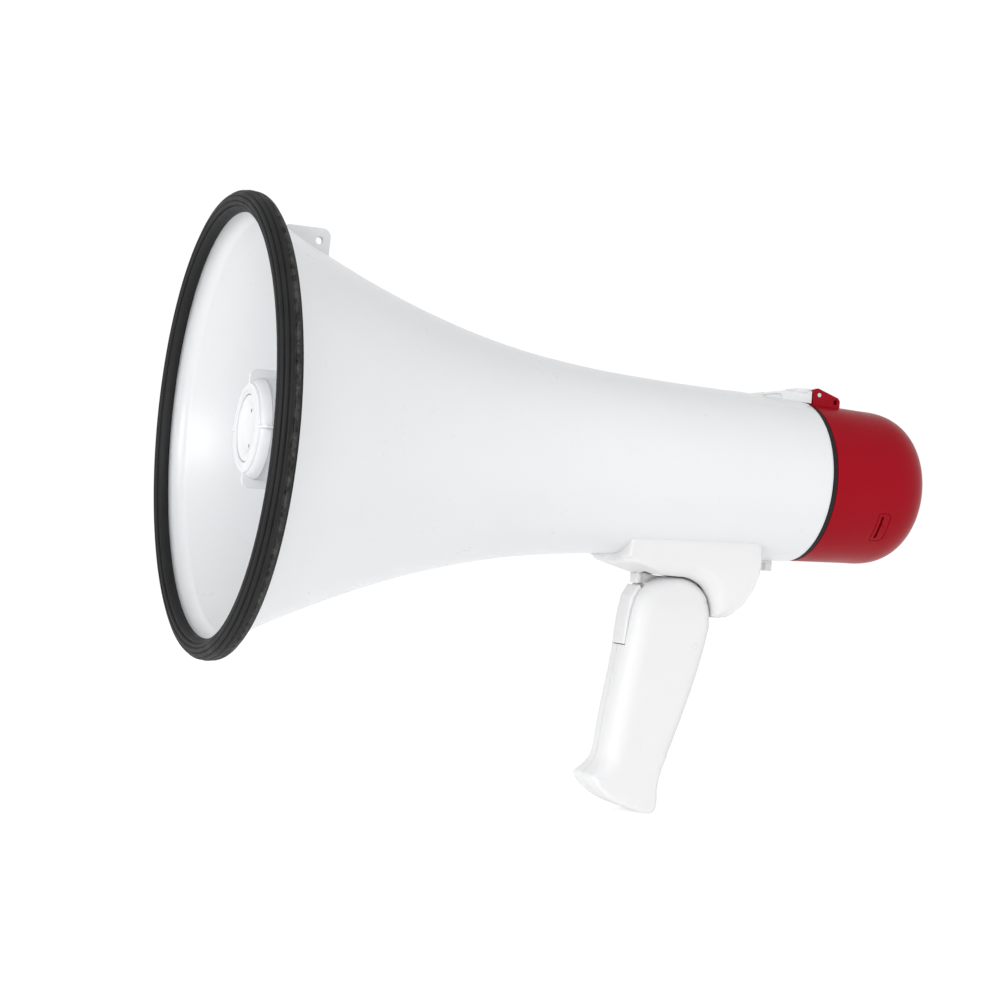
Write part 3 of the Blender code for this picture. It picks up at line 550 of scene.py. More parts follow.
def build_horn():
    outer = [(2.4, 100.3), (9.4, 100.4), (10.0, 100.3), (10.5, 99.9), (10.6, 99.3), (10.7, 98.0)]
    outer += HORN + [(301.0, 40.65), (301.35, 40.3)]
    inner = [(301.3, 38.2)]
    inner += [(x, r - 2.3) for x, r in reversed(HORN[1:])]
    inner += [(12.0, 95.0), (9.0, 96.6), (6.0, 97.4), (3.0, 98.6)]
    horn = finish_mesh("horn_shell", lathe(outer + inner, 192), SHELL, 50)
    boolean(horn, merged(
        box((283.9, -2.9, -44.0), (296.4, 2.9, -37.0)),
        rod(36.0, 44.0, 1.7, 24, "Z", (HINGE_SCREW_X, 0.0, 0.0)),
        rod(-47.0, -38.0, 1.7, 24, "Z", (SADDLE_SCREWS_X[0], 0.0, 0.0)),
        rod(-46.0, -37.0, 1.7, 24, "Z", (SADDLE_SCREWS_X[1], 0.0, 0.0)),
    ), angle=50)
    place(horn, "horn", "white_shell", "horn_body")

    tab = filleted([(25.2, 86.0, 0), (27.0, 94.1, 2.0), (48.6, 94.3, 3.6), (48.2, 80.0, 0.3),
                    (46.5, 76.0, 0), (30.0, 82.5, 0)])
    tab_obj = finish_mesh("sling_eyelet", plate(tab, [(43.2, 88.5, 1.7)], -1.45, 1.45, 0.35), SHELL)
    place(tab_obj, "horn", "white_shell")

    lug = filleted([(284.3, -39.6, 0.6), (289.7, -39.6, 0.6), (289.7, -34.3, 1.2), (284.3, -34.3, 1.2)])
    for side, (a, b) in (("left", (-6.6, -3.7)), ("right", (3.7, 6.6))):
        lugs = finish_mesh(f"latch_lug_{side}", plate(lug, [(*LATCH_PIN, 1.15)], a, b, 0.15), SHELL)
        place(lugs, "horn", "white_shell")


def build_hinge_pad():
    """The slightly raised field of the barrel around the hinge bracket."""
    along, across = 24, 40
    start, length, half = 258.0, 42.0, 22.4
    height, slope, barrel = 0.25, 1.2, 42.0
    bm = bmesh.new()
    rows = []
    for i in range(along + 1):
        x = start + length * i / along
        rise = height * min(1.0, i / 2.0) * min(1.0, along - i)
        row = []
        for j in range(across + 1):
            y = -half + 2 * half * j / across
            edge = min(1.0, (half - abs(y)) / slope)
            sunk = height if edge <= 0.0 or rise == 0.0 else 0.0
            r = horn_radius(x) + rise * max(0.0, edge) - sunk
            row.append(bm.verts.new((x, r * math.sin(y / barrel), r * math.cos(y / barrel))))
        rows.append(row)
    for a, b in zip(rows, rows[1:]):
        for j in range(across):
            bm.faces.new([a[j], a[j + 1], b[j + 1], b[j]])
    bmesh.ops.solidify(bm, geom=bm.faces[:], thickness=0.5)
    place(finish_mesh("hinge_pad", bm, SHELL, 40), "horn", "white_shell")


def build_hinge_bracket():
    crown = [(287.5, 44.4, 0.5), (290.9, 44.5, 0.4), (291.6, 44.15, 0), (293.2, 44.15, 0), (294.8, 44.7, 0.6),
             (298.0, 44.1, 1.0), (301.3, 44.0, 1.0), (304.7, 46.1, 0.5)]
    skirt = [(304.7, 38.0, 0), (288.0, 38.0, 0), (287.7, 41.6, 0.8), (286.4, 42.9, 1.5)]
    tongue = [(282.0, 42.3, 0), (277.3, 41.2, 0.4), (277.0, 42.5, 0.4)]
    core = [(304.4, 38.0, 0), (279.0, 38.0, 0), (278.4, 42.2, 0.6)]
    knuckle = arc(HINGE, 3.3, 180.0, -30.0, 20) + [(304.8, 47.2), (299.0, 46.9), (297.9, 46.2), (297.8, 39.0)]
    bracket = finish_mesh("hinge_bracket_skin", merged(
        plate(filleted(crown + skirt + tongue), [], -EAR_HALF, -8.9, 0.2),
        plate(filleted(crown + skirt + tongue), [], 8.9, EAR_HALF, 0.2),
        plate(filleted(crown + core), [], -9.1, 9.1, 0.2),
        plate(knuckle + [(304.6, 39.0)], [(*HINGE, 1.3)], -6.4, 6.4, 0.25)), SHELL, 40)
    seat = [(x, horn_radius(x) + 0.1) for x in (270.0, 290.0, 301.3)] + [(305.2, 40.7), (311.0, 40.7)]
    seat = [(270.0, 0.0)] + seat + [(311.0, 0.0)]
    boolean(bracket, lathe(seat, 96, closed=False), solver="MANIFOLD", angle=40)
    place(bracket, "horn", "white_shell", "hinge_bracket")


def rim_profile():
    """Bead section: inner lip, round nose, outer tread and rear edge, with moulded corrugations."""
    line = [(5.2, 96.1), (4.7, 95.65), (3.3, 95.75), (1.2, 96.8), (-0.3, 98.6), (-0.85, 100.6),
            (-0.3, 102.8), (1.1, 104.5), (3.0, 105.3), (5.0, 105.45), (7.2, 105.25), (8.8, 104.5),
            (9.6, 103.3), (9.7, 102.0)]
    line = spline(line, 12)
    length = [0.0]
    for p, q in zip(line, line[1:]):
        length.append(length[-1] + math.hypot(q[0] - p[0], q[1] - p[1]))
    grooves = [length[-1] - back for back in (2.3, 5.6, 8.4, 11.0, 13.5, 16.0, 18.4)]
    out = []
    for i, (x, r) in enumerate(line):
        a, b = line[max(i - 1, 0)], line[min(i + 1, len(line) - 1)]
        tangent = Vector((b[0] - a[0], b[1] - a[1])).normalized()
        normal = Vector((-tangent.y, tangent.x))
        gap = min(abs(length[i] - g) for g in grooves)
        depth = 0.5 * math.exp(-((gap / 0.34) ** 2)) + 0.22 * min(1.0, max(0.0, 1.0 - gap / 1.3)) ** 1.5
        out.append((x - normal.x * depth, r - normal.y * depth))
    return out


def build_rim():
    profile = rim_profile() + [(9.7, 100.75), (2.2, 100.75), (2.2, 98.9), (5.2, 98.3)]
    rim = finish_mesh("rim_bead", lathe(profile, 256), RIM, 60)
    place(rim, "horn", "black_rubber", "rim_ring")


# ---------------------------------------------------------------- driver in the mouth
def build_driver():
    cup = [(24.5, 21.0), (22.0, 20.0), (20.6, 16.5), (19.6, 15.5), (16.6, 15.45), (16.0, 15.6), (15.75, 16.0)]
    cup += [(15.8, 16.7), (16.1, 17.1), (16.1, 19.3), (15.95, 19.7), (16.05, 20.1), (16.5, 20.45)]
    cup += [(16.9, 20.5), (17.0, 20.8), (17.6, 21.4), (19.0, 22.2), (21.0, 22.9), (21.4, 22.95)]
    cup += [(21.7, 22.75), (24.0, 22.9), (40.0, 23.1), (66.0, 23.0), (70.0, 22.7), (72.0, 22.0)]
    cup += [(72.0, 21.0), (70.0, 21.0)]
    place(finish_mesh("driver_cup", lathe(cup, 160), SHELL, 38), "horn", "white_shell", "driver_housing")
    fin = filleted([(24.0, 21.0, 0), (17.2, 19.0, 0.3), (15.8, 18.9, 0.4), (15.8, 27.0, 3.4),
                    (100.0, 27.0, 20.0), (128.0, 49.0, 4.0), (146.0, 46.0, 4.0), (146.0, 29.6, 0),
                    (104.0, 18.2, 0), (66.0, 13.0, 0), (66.0, 21.5, 0)])
    for k, name in enumerate(("upper", "left", "lower", "right")):
        bm = turned(plate(fin, [], -0.65, 0.65, 0.25), math.tau * k / 4)
        place(finish_mesh(f"driver_fin_{name}", bm, SHELL), "horn", "white_shell")
    dish = [(18.1, 0.0), (18.1, 8.6), (17.95, 9.3), (17.4, 10.3), (16.95, 10.9), (16.85, 11.5), (16.6, 11.9)]
    dish += [(16.3, 13.0), (16.25, 14.1), (16.5, 15.0), (17.0, 15.3), (20.5, 15.3), (20.9, 14.0), (20.9, 0.0)]
    cap = finish_mesh("driver_dish", lathe(dish, 128, closed=False), SHELL, 40)
    bores = [rod(14.0, 24.0, 1.15, 24, "X", (0.0, 0.0, z)) for z in (DISH_SCREW_Z, -DISH_SCREW_Z)]
    boolean(cap, merged(*bores))
    place(cap, "horn", "white_shell", "driver_front_cap")
    for name, z in (("upper", DISH_SCREW_Z), ("lower", -DISH_SCREW_Z)):
        head = [(18.0, 0.0), (17.95, 0.85), (18.1, 1.12), (19.6, 1.12), (19.6, 0.7), (24.4, 0.7), (24.4, 0.0)]
        screw = finish_mesh(f"dish_screw_{name}", lathe(head, 32, "X", (0.0, 0.0, z), False), STEEL, 40)
        for y_reach, z_reach in ((0.7, 0.13), (0.13, 0.7)):
            slot = box((17.0, -y_reach, z - z_reach), (18.5, y_reach, z + z_reach))
            boolean(screw, slot, solver="MANIFOLD", angle=40)
        place(screw, "horn", "steel", f"driver_cap_screw_{name}")

    tube = [(54.0, 20.6), (57.0, 20.6), (57.6, 13.6), (60.0, 12.6), (75.0, 13.2), (100.0, 17.0)]
    tube += [(125.0, 22.5), (149.6, 29.2)]
    inner = [(149.6, 27.6), (125.0, 20.5), (100.0, 15.0), (75.0, 11.2), (60.0, 10.0), (54.0, 9.0)]
    shape = spline(tube, 6) + spline(inner, 6)
    place(finish_mesh("throat_tube", lathe(shape, 128), SHELL, 45), "horn", "white_shell", "tone_tube")


# ---------------------------------------------------------------- rear cap and its controls
def cap_curve(wall, count):
    """The cap's outer section, or with a wall the inner one, from the open front to the pole."""
    points = [(CAP_FRONT, CAP_RADIUS - wall), (CAP_FRONT + 0.3, CAP_RADIUS + 0.05 - wall)]
    side, reach = SHOULDER_RADIUS - wall, CAP_END - wall - CAP_SHOULDER
    for i in range(count):
        u = math.sin(math.radians(90.0 * i / (count - 1)))
        fall = max(0.0, 1.0 - u**DOME_POWER) ** (1.0 / DOME_POWER)
        points.append((CAP_SHOULDER + reach * u, side * fall))
    return points


def cap_radius(x):
    """The cap's outer radius at x."""
    along = max(0.0, (x - CAP_SHOULDER) / (CAP_END - CAP_SHOULDER))
    if along <= 0.0:
        return CAP_RADIUS - (x - CAP_FRONT) * CAP_TAPER
    return SHOULDER_RADIUS * (1 - along**DOME_POWER) ** (1 / DOME_POWER)


def build_cap():
    shell = list(reversed(cap_curve(2.4, 20))) + cap_curve(0.0, 40)
    cap = finish_mesh("cap_shell", lathe(shell, 192, closed=False), RED, 50)
    tools = [rod(350.0, 380.0, 12.2, 64, "X", (0.0, *GRILLE_YZ))]
    for (y, z), bore in ((KNOB_YZ, 2.0), (BUTTON_YZ, 4.4)):
        tools.append(rod(350.0, 380.0, bore, 48, "X", (0.0, y, z)))
    boolean(cap, merged(*tools), solver="MANIFOLD", angle=50)
    place(cap, "cap", "red_plastic", "rear_cap")

    frame_line = filleted([(-3.6, -8.0, 1.0), (3.6, -8.0, 3.0), (3.6, 8.0, 2.6), (-3.6, 8.0, 1.2)])
    boolean(cap, turned(groove(resample(frame_line, 0.6), 0.42), SLOT_TURN), solver="MANIFOLD", angle=50)
    slit = filleted([(-1.7, -6.3, 0.3), (-0.3, -6.3, 0.3), (-0.3, 6.3, 0.3), (-1.7, 6.3, 0.3)])
    boolean(cap, turned(slot_plate(slit, 30.0, 46.0), SLOT_TURN), solver="MANIFOLD", angle=50)

    ear = filleted([(305.6, 38.0, 0), (305.65, 46.5, 1.2), (308.2, 47.6, 1.2), (320.3, 43.7, 1.0),
                    (321.5, 42.2, 1.0), (321.4, 37.2, 0)])
    hole_x, hole_z, hole_depth = 318.8, 41.3, 2.4
    for side, (a, b) in (("left", (-EAR_HALF, -6.75)), ("right", (6.75, EAR_HALF))):
        near, far = (a + hole_depth, b) if a < 0.0 else (a, b - hole_depth)
        floor = rod(near, far, 1.3, 32, "Y", (hole_x, 0.0, hole_z))
        skin = plate(ear, [(*HINGE, 1.3), (hole_x, hole_z, 1.2)], a, b, 0.3)
        ears = finish_mesh(f"cap_ear_{side}", merged(skin, floor), RED)
        place(ears, "cap", "red_plastic")
    lip = finish_mesh("latch_catch", box((305.4, -7.0, -38.8), (308.0, 7.0, -36.4)), RED)
    place(lip, "cap", "red_plastic")


def groove(outline, width):
    """A closed tube of square section that follows the cap's skin along the outline."""
    bm = bmesh.new()
    n = len(outline)
    rings = []
    for i, (x, y) in enumerate(outline):
        tangent = (Vector(outline[(i + 1) % n]) - Vector(outline[i - 1])).normalized()
        side = Vector((-tangent.y, tangent.x)) * (width / 2)
        ring = []
        for offset, rise in ((-1, -0.35), (1, -0.35), (1, 1.5), (-1, 1.5)):
            px, py = x + side.x * offset, y + side.y * offset
            radius = cap_radius(SLOT_X + x) + rise
            ring.append(bm.verts.new((SLOT_X + px, py, math.sqrt(radius * radius - py * py))))
        rings.append(ring)
    join_rings(bm, zip(rings, rings[1:] + rings[:1]), 4)
    return bm


def slot_plate(outline, low, high):
    """A prism through the cap's slot: outline is (x from the slot's centre, local y)."""
    bm = bmesh.new()
    bottom = [bm.verts.new((SLOT_X + x, y, low)) for x, y in outline]
    top = [bm.verts.new((SLOT_X + x, y, high)) for x, y in outline]
    bm.faces.new(list(reversed(bottom)))
    bm.faces.new(top)
    for i in range(len(outline)):
        j = (i + 1) % len(outline)
        bm.faces.new([bottom[i], bottom[j], top[j], top[i]])
    return bm


def build_knob():
    """The volume knob: each ring is (x, radius, 1 where it is fluted)."""
    steps, flutes, depth = 144, 24, 0.28
    y, z = KNOB_YZ
    bm = bmesh.new()
    rings = []
    for x, r, wave in ((353.0, 0.0, 0), (353.0, 1.6, 0), (361.0, 1.6, 0), (361.0, 6.4, 0), (361.4, 6.6, 1),
                       (368.6, 6.1, 1), (369.6, 5.7, 0), (370.1, 5.0, 0), (370.2, 4.0, 0), (369.9, 0.0, 0)):
        ring = []
        for k in range(steps if r else 1):
            a = math.tau * k / steps
            rr = r - (depth * wave * (0.5 + 0.5 * math.cos(a * flutes)) ** 2)
            ring.append(bm.verts.new((x, y + rr * math.sin(a), z + rr * math.cos(a))))
        rings.append(ring)
    join_rings(bm, zip(rings, rings[1:]), steps)
    place(finish_mesh("knob", bm, DARK, 30), "knob", "dark_plastic", "volume_knob")
    mark = box((369.6, y - 0.35, z + 1.6), (370.28, y + 0.35, z + 5.0))
    place(finish_mesh("knob_mark", mark, GRIP), "knob", "grip_white")


def build_controls():
    build_knob()
    y, z = BUTTON_YZ
    button = [(356.4, 0.0), (356.4, 5.2), (357.1, 5.2), (357.1, 4.1), (366.9, 4.1), (367.6, 3.9)]
    button += [(368.1, 3.4), (368.35, 2.4), (368.4, 0.0)]
    push = finish_mesh("siren_cap", lathe(button, 64, "X", (0.0, y, z), False), RED, 40)
    place(push, "button", "red_plastic", "siren_button")

    grille = [(362.0, 0.0), (362.0, 11.9), (367.6, 11.9), (368.2, 11.6), (368.6, 10.9), (368.75, 9.6)]
    grille += [(368.9, 6.0), (369.0, 0.0)]
    mesh = finish_mesh("grille", lathe(grille, 96, "X", (0.0, *GRILLE_YZ), False), DARK, 40)
    holes = []
    for ring, count in ((0.0, 1), (2.6, 6), (5.2, 12), (7.8, 18)):
        for k in range(count):
            a = math.tau * (k + 0.5 * (count == 12)) / count
            y, z = GRILLE_YZ[0] + ring * math.cos(a), GRILLE_YZ[1] + ring * math.sin(a)
            holes.append(rod(366.4, 372.0, 0.75, 12, "X", (0.0, y, z)))
    boolean(mesh, merged(*holes), angle=40)
    place(mesh, "cap", "dark_plastic", "mic_grille")

    for name, (y, z), pocket in (("knob", KNOB_YZ, 7.1), ("siren", BUTTON_YZ, 5.9)):
        ring = [(356.5, pocket), (362.3, pocket), (362.6, pocket + 0.35), (362.3, pocket + 1.1), (361.4, 8.6)]
        ring += [(356.5, 8.6)]
        bezel = finish_mesh(f"{name}_bezel", lathe(ring, 96, "X", (0.0, y, z)), RED, 40)
        place(bezel, "cap", "red_plastic")

    stem = [(-0.8, -0.1), (-0.4, -0.1), (-0.4, 0.5), (-0.8, 0.5)]
    nub = filleted([(-0.8, -1.4, 0.3), (1.1, -1.2, 0.6), (1.5, 0.0, 0.8), (1.1, 1.2, 0.6), (-0.8, 1.4, 0.3)])
    bm = turned(merged(slot_plate(stem, 33.6, 39.2), slot_plate(nub, 39.18, 39.75)), SLOT_TURN)
    place(soften(finish_mesh("slide_lever", bm, RED), 0.18), "slider", "red_plastic", "mode_slider")


# ---------------------------------------------------------------- saddle
def arc(centre, radius, start, end, count):
    """Points on an arc, with angles in degrees from straight up towards the rear."""
    out = []
    for i in range(count):
        a = math.radians(start + (end - start) * i / (count - 1))
        out.append((centre[0] + radius * math.sin(a), centre[1] + radius * math.cos(a)))
    return out


def prism_y(outline, half):
    """A prism between y = -half and y = half, from an (x, z) outline."""
    bm = bmesh.new()
    low = [bm.verts.new((x, -half, z)) for x, z in outline]
    high = [bm.verts.new((x, half, z)) for x, z in outline]
    bm.faces.new(low)
    bm.faces.new(list(reversed(high)))
    for i in range(len(outline)):
        j = (i + 1) % len(outline)
        bm.faces.new([low[i], high[i], high[j], low[j]])
    return bm


# The beak in plan, as (distance from the middle, x), and the keel in side view, as (z, x).
BEAK_PLAN = ((0.0, 194.0), (0.5, 195.2), (1.0, 197.0), (2.5, 200.2), (4.5, 202.0), (7.0, 202.8),
             (10.0, 202.9), (15.0, 202.5), (20.0, 202.2), (30.0, 201.9))
KEEL = ((-76.0, 216.5), (-52.2, 216.3), (-47.2, 196.6), (-46.4, 194.9), (-45.2, 194.0), (-44.4, 188.0),
        (-40.0, 150.0), (-20.0, 100.0))


def beak_front(y, z):
    """Where the saddle's front wall stands: a narrow beak over a keel swept back to both sides."""
    u = abs(y)
    upper = float(np.interp(u, [p[0] for p in BEAK_PLAN], [p[1] for p in BEAK_PLAN]))
    keel = float(np.interp(z, [p[0] for p in KEEL], [p[1] for p in KEEL])) + 0.5 * u
    blend = 0.1 + 0.15 * u
    front = (upper + keel + math.sqrt((upper - keel) ** 2 + blend * blend)) / 2
    corner = 1.5 + 0.4 * max(0.0, min(12.0, -38.0 - z))
    turn = min(1.0, max(0.0, (u - SADDLE_HALF + corner) / corner))
    return front + corner * (1.0 - math.sqrt(1.0 - turn * turn))


def beak_tool():
    """The solid behind the saddle's front wall, which the saddle is cut to."""
    ys = [v * 0.5 for v in range(-49, 50)]
    ys = [-26.0, -SADDLE_HALF] + ys[1:-1] + [SADDLE_HALF, 26.0]
    zs = [-28.0, -34.0] + [-36.0 - 0.4 * k for k in range(41)] + [-53.0, -60.0, -76.0]
    bm = bmesh.new()
    front = [[bm.verts.new((beak_front(y, z), y, z)) for y in ys] for z in zs]
    back = [[bm.verts.new((290.0, y, z)) for y in ys] for z in zs]
    for i in range(len(zs) - 1):
        for j in range(len(ys) - 1):
            for grid in (front, back):
                bm.faces.new([grid[i][j], grid[i][j + 1], grid[i + 1][j + 1], grid[i + 1][j]])
        for j in (0, -1):
            bm.faces.new([front[i][j], front[i + 1][j], back[i + 1][j], back[i][j]])
    for i in (0, -1):
        for j in range(len(ys) - 1):
            bm.faces.new([front[i][j], front[i][j + 1], back[i][j + 1], back[i][j]])
    return bm


def build_saddle():
    def half(x, z):
        """Half width, drawn in towards the bottom of the rear lobe."""
        rear = 275.5 - max(0.0, (-46.0 - z) / 25.2) ** 1.6 * 13.0
        plan = float(np.interp(x + (275.5 - rear) * max(0.0, (x - 250.0) / 25.0),
                               (186.0, 271.5, 273.6, 274.9, 275.5),
                               (SADDLE_HALF, SADDLE_HALF, 24.2, 22.8, 20.0)))
        drop = max(0.0, -36.0 - z)
        return min(plan, SADDLE_HALF - 0.16 * drop - 0.0026 * drop * drop)

    outline = [(188.0, -52.2), (227.0, -52.2)] + arc(PIVOT, 19.0, 2.0, 88.0, 30)
    outline += filleted([(255.5, -71.2, 0.6), (262.3, -71.2, 4.0), (269.2, -63.3, 9.0), (274.0, -53.4, 12.0),
                         (275.5, -45.0, 8.0), (275.5, -34.6, 0)])[1:]
    outline += [(x, -math.sqrt(horn_radius(x) ** 2 - SADDLE_HALF**2) + 1.4)
                for x in (274.0, 250.0, 230.0, 208.0, 188.0)]

    def lower(x, z):
        return z < -47.0 and (x < 262.3 or z < -70.9) and x > 189.0

    bm = pillow(outline, half, 6.7, 7.0, 0.9, lower, (271.5, 273.6, 274.9))
    saddle = finish_mesh("saddle", bm, GRIP, 50)
    boolean(saddle, beak_tool(), "INTERSECT", angle=50)
    room = [(217.0, -54.0), (217.0, -51.0), (219.6, -49.0), (219.6, -45.8), (237.0, -45.8)]
    room += arc(PIVOT, 23.2, 8.0, 18.0, 5) + arc(PIVOT, 21.8, 27.0, 30.0, 2)
    room += arc(PIVOT, 20.6, 38.0, 41.0, 2) + arc(PIVOT, 18.6, 50.0, 0.0, 12)
    bore = [(-70.0, 0.0), (-70.0, 3.2), (-51.9, 3.2), (-51.9, 1.5), (-30.0, 1.5), (-30.0, 0.0)]
    bore = lathe(bore, 32, "Z", (SADDLE_SCREWS_X[1], 0.0, 0.0), False)
    skin = [(x, horn_radius(x) - 0.6) for x in range(180, 300, 10)]
    boolean(saddle, prism_y(room, 11.2), angle=50)
    boolean(saddle, merged(bore, box((215.6, -4.7, -54.5), (250.5, 4.7, -44.1))), angle=50)
    boolean(saddle, lathe([(180.0, 0.0)] + skin + [(290.0, 0.0)], 128, closed=False), angle=50)
    place(saddle, "horn", "grip_white", "saddle_bracket")

    lean = Vector((math.sin(math.radians(28)), math.cos(math.radians(28))))
    across = Vector((lean.y, -lean.x))
    pivot = Vector(PIVOT)
    neck = [tuple(pivot + lean * reach + across * 4.0) for reach in (26.0, 6.0)]
    neck += arc(PIVOT, 7.8, 64.0, 352.0, 28)
    neck += [tuple(pivot + lean * reach - across * 4.0) for reach in (6.0, 26.0)]
    for side, (a, b) in (("left", (-PRONG_HALF, -3.4)), ("right", (3.4, PRONG_HALF))):
        prong = finish_mesh(f"saddle_prong_{side}", plate(neck, [(*PIVOT, 2.75)], a, b, 0.2), GRIP)
        place(prong, "horn", "grip_white")


# ---------------------------------------------------------------- folding grip
def grip_outline():
    """The grip from the side: front edge, foot, back edge and the round hub over the pivot."""
    front = [(233.0, -52.7), (229.0, -52.9), (225.4, -53.8), (221.4, -55.9), (217.9, -58.9), (215.5, -62.6),
             (213.9, -67.0), (212.9, -72.0), (211.6, -82.0), (210.0, -94.0), (208.3, -106.0), (206.4, -118.0),
             (204.9, -130.0), (203.9, -138.5), (202.9, -142.6), (200.6, -146.3), (198.0, -149.0)]
    foot = [(198.0, -149.0), (196.9, -150.4), (196.9, -152.0), (198.0, -153.6), (201.8, -157.4),
            (207.0, -161.2), (213.5, -164.2), (220.0, -166.2), (226.4, -167.8), (229.9, -167.8),
            (231.8, -166.2), (232.5, -162.4), (232.2, -156.5)]
    back = [(232.2, -156.5), (232.9, -151.5), (234.8, -146.0), (238.6, -136.0), (242.9, -123.6),
            (247.2, -110.0), (251.2, -96.0), (253.9, -84.0), (255.75, -74.2)]
    hub = arc(PIVOT, 18.5, 93.0, -6.0, 34)
    return spline(front, 4)[:-1] + spline(foot, 4)[:-1] + spline(back, 4) + hub[:-3]


def build_grip():
    outline = grip_outline()

    def in_radius(x, z):
        """Edge rounding: wide at the front, tighter at the back, small at the foot."""
        if z < -155.0 or (z < -148.0 and x > 228.0):
            return 2.2
        if z < -140.0:
            return 2.2 + (z + 155.0) / 15.0 * 7.0 if x < 222.0 else 3.6
        middle = 233.0 + (z + 110.0) * 0.16
        if z > -62.0:
            u = min(1.0, max(0.0, (x - 219.0) / 17.0))
            return 9.2 * (1 - u) + 3.6 * u
        return 9.2 if x < middle else 4.6

    for side, name in ((-1, "left"), (1, "right")):
        bm = pillow(outline, 13.0, in_radius, in_radius, 1.0, None, (), 0.12, 9)
        if side < 0:
            for vert in bm.verts:
                vert.co.y = -vert.co.y
        shell = finish_mesh(f"grip_{name}", bm, GRIP, 50)
        for reach, rooms in (
            (6.75, (((200.0, -87.3), (220.6, -56.4)), ((219.0, -80.0), (223.6, -58.8)))),
            (6.7, (((221.2, -60.0), (262.0, -40.0)), ((223.0, -66.0), (242.0, -59.0)))),
        ):
            low, high = sorted((-side * 0.4, side * reach))
            for (x0, z0), (x1, z1) in rooms:
                boolean(shell, box((x0, low, z0), (x1, high, z1)), solver="MANIFOLD", angle=50)
        hub = rod(low, high, 12.0, 48, "Y", (PIVOT[0], 0.0, PIVOT[1]))
        boolean(shell, hub, solver="MANIFOLD", angle=50)
        if side < 0:
            place(shell, "grip", "grip_white", "handle_shell_left")
            mark = [(-13.02, 0.0), (-13.02, 1.15), (-13.06, 1.35), (-13.0, 1.6), (-12.6, 1.6), (-12.6, 0.0)]
            dot = finish_mesh("grip_sink_mark", lathe(mark, 40, "Y", (246.6, 0.0, -85.8), False), GRIP, 80)
            place(dot, "grip", "grip_white")
        else:
            tools = [rod(10.4, 14.0, 3.0, 32, "Y", (x, 0.0, z)) for x, z in GRIP_SCREWS]
            boolean(shell, merged(*tools), solver="MANIFOLD", angle=50)
            place(shell, "grip", "grip_white", "handle_shell_right")


def build_screws():
    for number, (x, z) in enumerate(GRIP_SCREWS, 1):
        head = [(10.5, 0.0), (10.5, 1.3), (10.6, 2.6), (11.6, 2.7), (12.2, 2.4), (12.6, 1.6), (12.75, 0.0)]
        screw = finish_mesh(f"grip_screw_{number}", lathe(head, 40, "Y", (x, 0.0, z), False), STEEL, 40)
        turn = Matrix.Rotation(math.radians(20 + 37 * number), 4, "Y")
        for x_reach, z_reach in ((1.5, 0.28), (0.28, 1.5)):
            slot = box((-x_reach, -1.0, -z_reach), (x_reach, 1.5, z_reach))
            bmesh.ops.transform(slot, matrix=Matrix.Translation((x, 12.9, z)) @ turn, verts=slot.verts)
            boolean(screw, slot, solver="MANIFOLD", angle=40)
        place(screw, "grip", "steel", f"handle_screw_{number}")


def build_trigger():
    face = filleted([(216.9, -57.4, 0.5), (215.5, -59.4, 4.0), (213.3, -63.6, 6.0), (211.6, -73.0, 20.0),
                     (210.5, -87.0, 0.8), (219.0, -86.3, 0.6), (220.0, -62.0, 0), (219.0, -59.8, 0)])
    bm = pillow(face, 6.35, 1.3, 1.1, 0.7, lambda x, z: x < 216.5 and z > -86.4)
    trigger = finish_mesh("trigger_lever_skin", bm, GRIP, 45)
    boolean(trigger, rod(-8.0, 8.0, 1.75, 32, "Y", (TRIGGER_PIN[0], 0.0, TRIGGER_PIN[1])), angle=45)
    boolean(trigger, box((213.2, -3.4, -90.0), (226.0, 3.4, -79.6)), angle=45)
    place(trigger, "trigger_lever", "grip_white", "trigger")
    lip = filleted([(217.0, -51.4, 0.2), (217.0, -56.9, 0), (218.9, -56.9, 0), (218.9, -51.4, 0.2)])
    web = [(218.6, -51.4), (218.6, -56.8), (224.8, -56.8), (224.8, -60.5), (230.5, -60.5),
           (230.5, -53.2), (225.0, -52.3)]
    both = merged(plate(lip, [], -4.2, 4.2, 0.3), plate(web, [], -3.2, 3.2, 0.1))
    place(finish_mesh("grip_web", both, GRIP), "grip", "grip_white")


build_horn()
build_hinge_pad()
build_hinge_bracket()
build_rim()
build_driver()
build_cap()
build_controls()
build_saddle()
build_grip()
build_screws()
build_trigger()
soften(NODES["cap_latch"], 0.25)


# ---------------------------------------------------------------- camera, floor and light
def add_camera():
    yaw, pitch, roll = 0.403, -0.028, 0.076
    place_mm = Vector((-229.8, -874.2, -49.0))
    turn = Matrix.Rotation(roll, 3, "Y") @ Matrix.Rotation(pitch, 3, "X") @ Matrix.Rotation(yaw, 3, "Z")
    right, forward, up = turn[0], turn[1], turn[2]
    camera = bpy.data.cameras.new("camera")
    camera.lens = 72.0
    camera.sensor_width = 36.0
    camera.clip_start, camera.clip_end = 0.05, 20.0
    view = bpy.data.objects.new("camera", camera)
    facing = Matrix((right, up, -forward)).transposed().to_4x4()
    view.matrix_world = Matrix.Translation((place_mm - SHIFT) * MM) @ facing
    bpy.context.scene.collection.objects.link(view)
    bpy.context.scene.camera = view


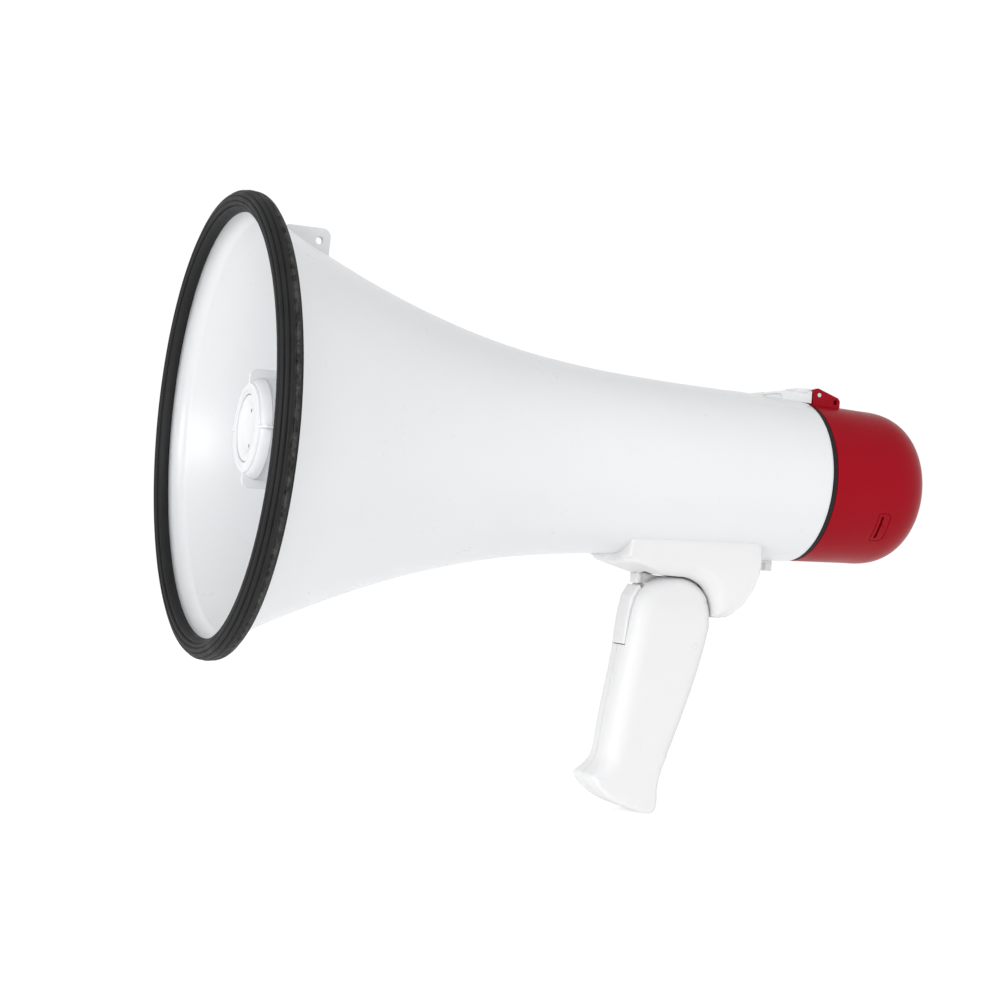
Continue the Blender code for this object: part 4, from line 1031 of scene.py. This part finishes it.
def add_floor():
    n = Nodes("floor_paper", (0.9, 0.9, 0.9), 0.8)
    n.link(n.mix(n.noise(3.0, 3.0), (0.89, 0.89, 0.89), (0.91, 0.91, 0.91)), "Base Color")
    n.bump([(n.noise(400.0, 2.0), 0.00004)])
    n.shader.inputs["Specular IOR Level"].default_value = 0.0
    n.shader.inputs["Emission Color"].default_value = (1.0, 1.0, 1.0, 1.0)
    n.shader.inputs["Emission Strength"].default_value = 0.35
    bm = bmesh.new()
    bmesh.ops.create_grid(bm, x_segments=1, y_segments=1, size=6.0)
    mesh = bpy.data.meshes.new("floor")
    bm.to_mesh(mesh)
    bm.free()
    mesh.materials.append(n.mat)
    floor = bpy.data.objects.new("floor", mesh)
    bpy.context.scene.collection.objects.link(floor)


def add_light():
    """A sky that is bright at the sides and dimmer overhead, and three soft area lights."""
    world = bpy.data.worlds.new("studio")
    world.use_nodes = True
    tree = world.node_tree
    up_down = tree.nodes.new("ShaderNodeSeparateXYZ")
    tree.links.new(tree.nodes.new("ShaderNodeTexCoord").outputs["Generated"], up_down.inputs[0])
    fade = tree.nodes.new("ShaderNodeMapRange")
    fade.interpolation_type = "SMOOTHSTEP"
    tree.links.new(up_down.outputs["Z"], fade.inputs["Value"])
    for key, value in (("From Min", 0.4), ("From Max", 0.85), ("To Min", 1.02), ("To Max", 0.56)):
        fade.inputs[key].default_value = value
    sky = tree.nodes["Background"]
    tree.links.new(fade.outputs["Result"], sky.inputs["Strength"])
    sky.inputs["Color"].default_value = (1.0, 1.0, 1.0, 1.0)
    bpy.context.scene.world = world
    bpy.context.scene.view_settings.view_transform = "Standard"

    target = Vector((0.0, 0.0, 0.15))
    for name, where, wide, tall, power in (
        ("front", (-0.55, -1.9, 0.45), 0.9, 0.5, 2.0),
        ("mouth", (-1.6, -1.0, 0.35), 1.1, 0.7, 16.0),
        ("strip", (0.15, -0.9, 1.9), 1.2, 0.22, 7.0),
    ):
        light = bpy.data.lights.new(name, "AREA")
        light.shape = "RECTANGLE"
        light.size, light.size_y = wide, tall
        light.energy = power
        lamp = bpy.data.objects.new(name, light)
        lamp.location = where
        lamp.rotation_euler = (target - Vector(where)).to_track_quat("-Z", "Y").to_euler()
        bpy.context.scene.collection.objects.link(lamp)


add_camera()
add_floor()
add_light()
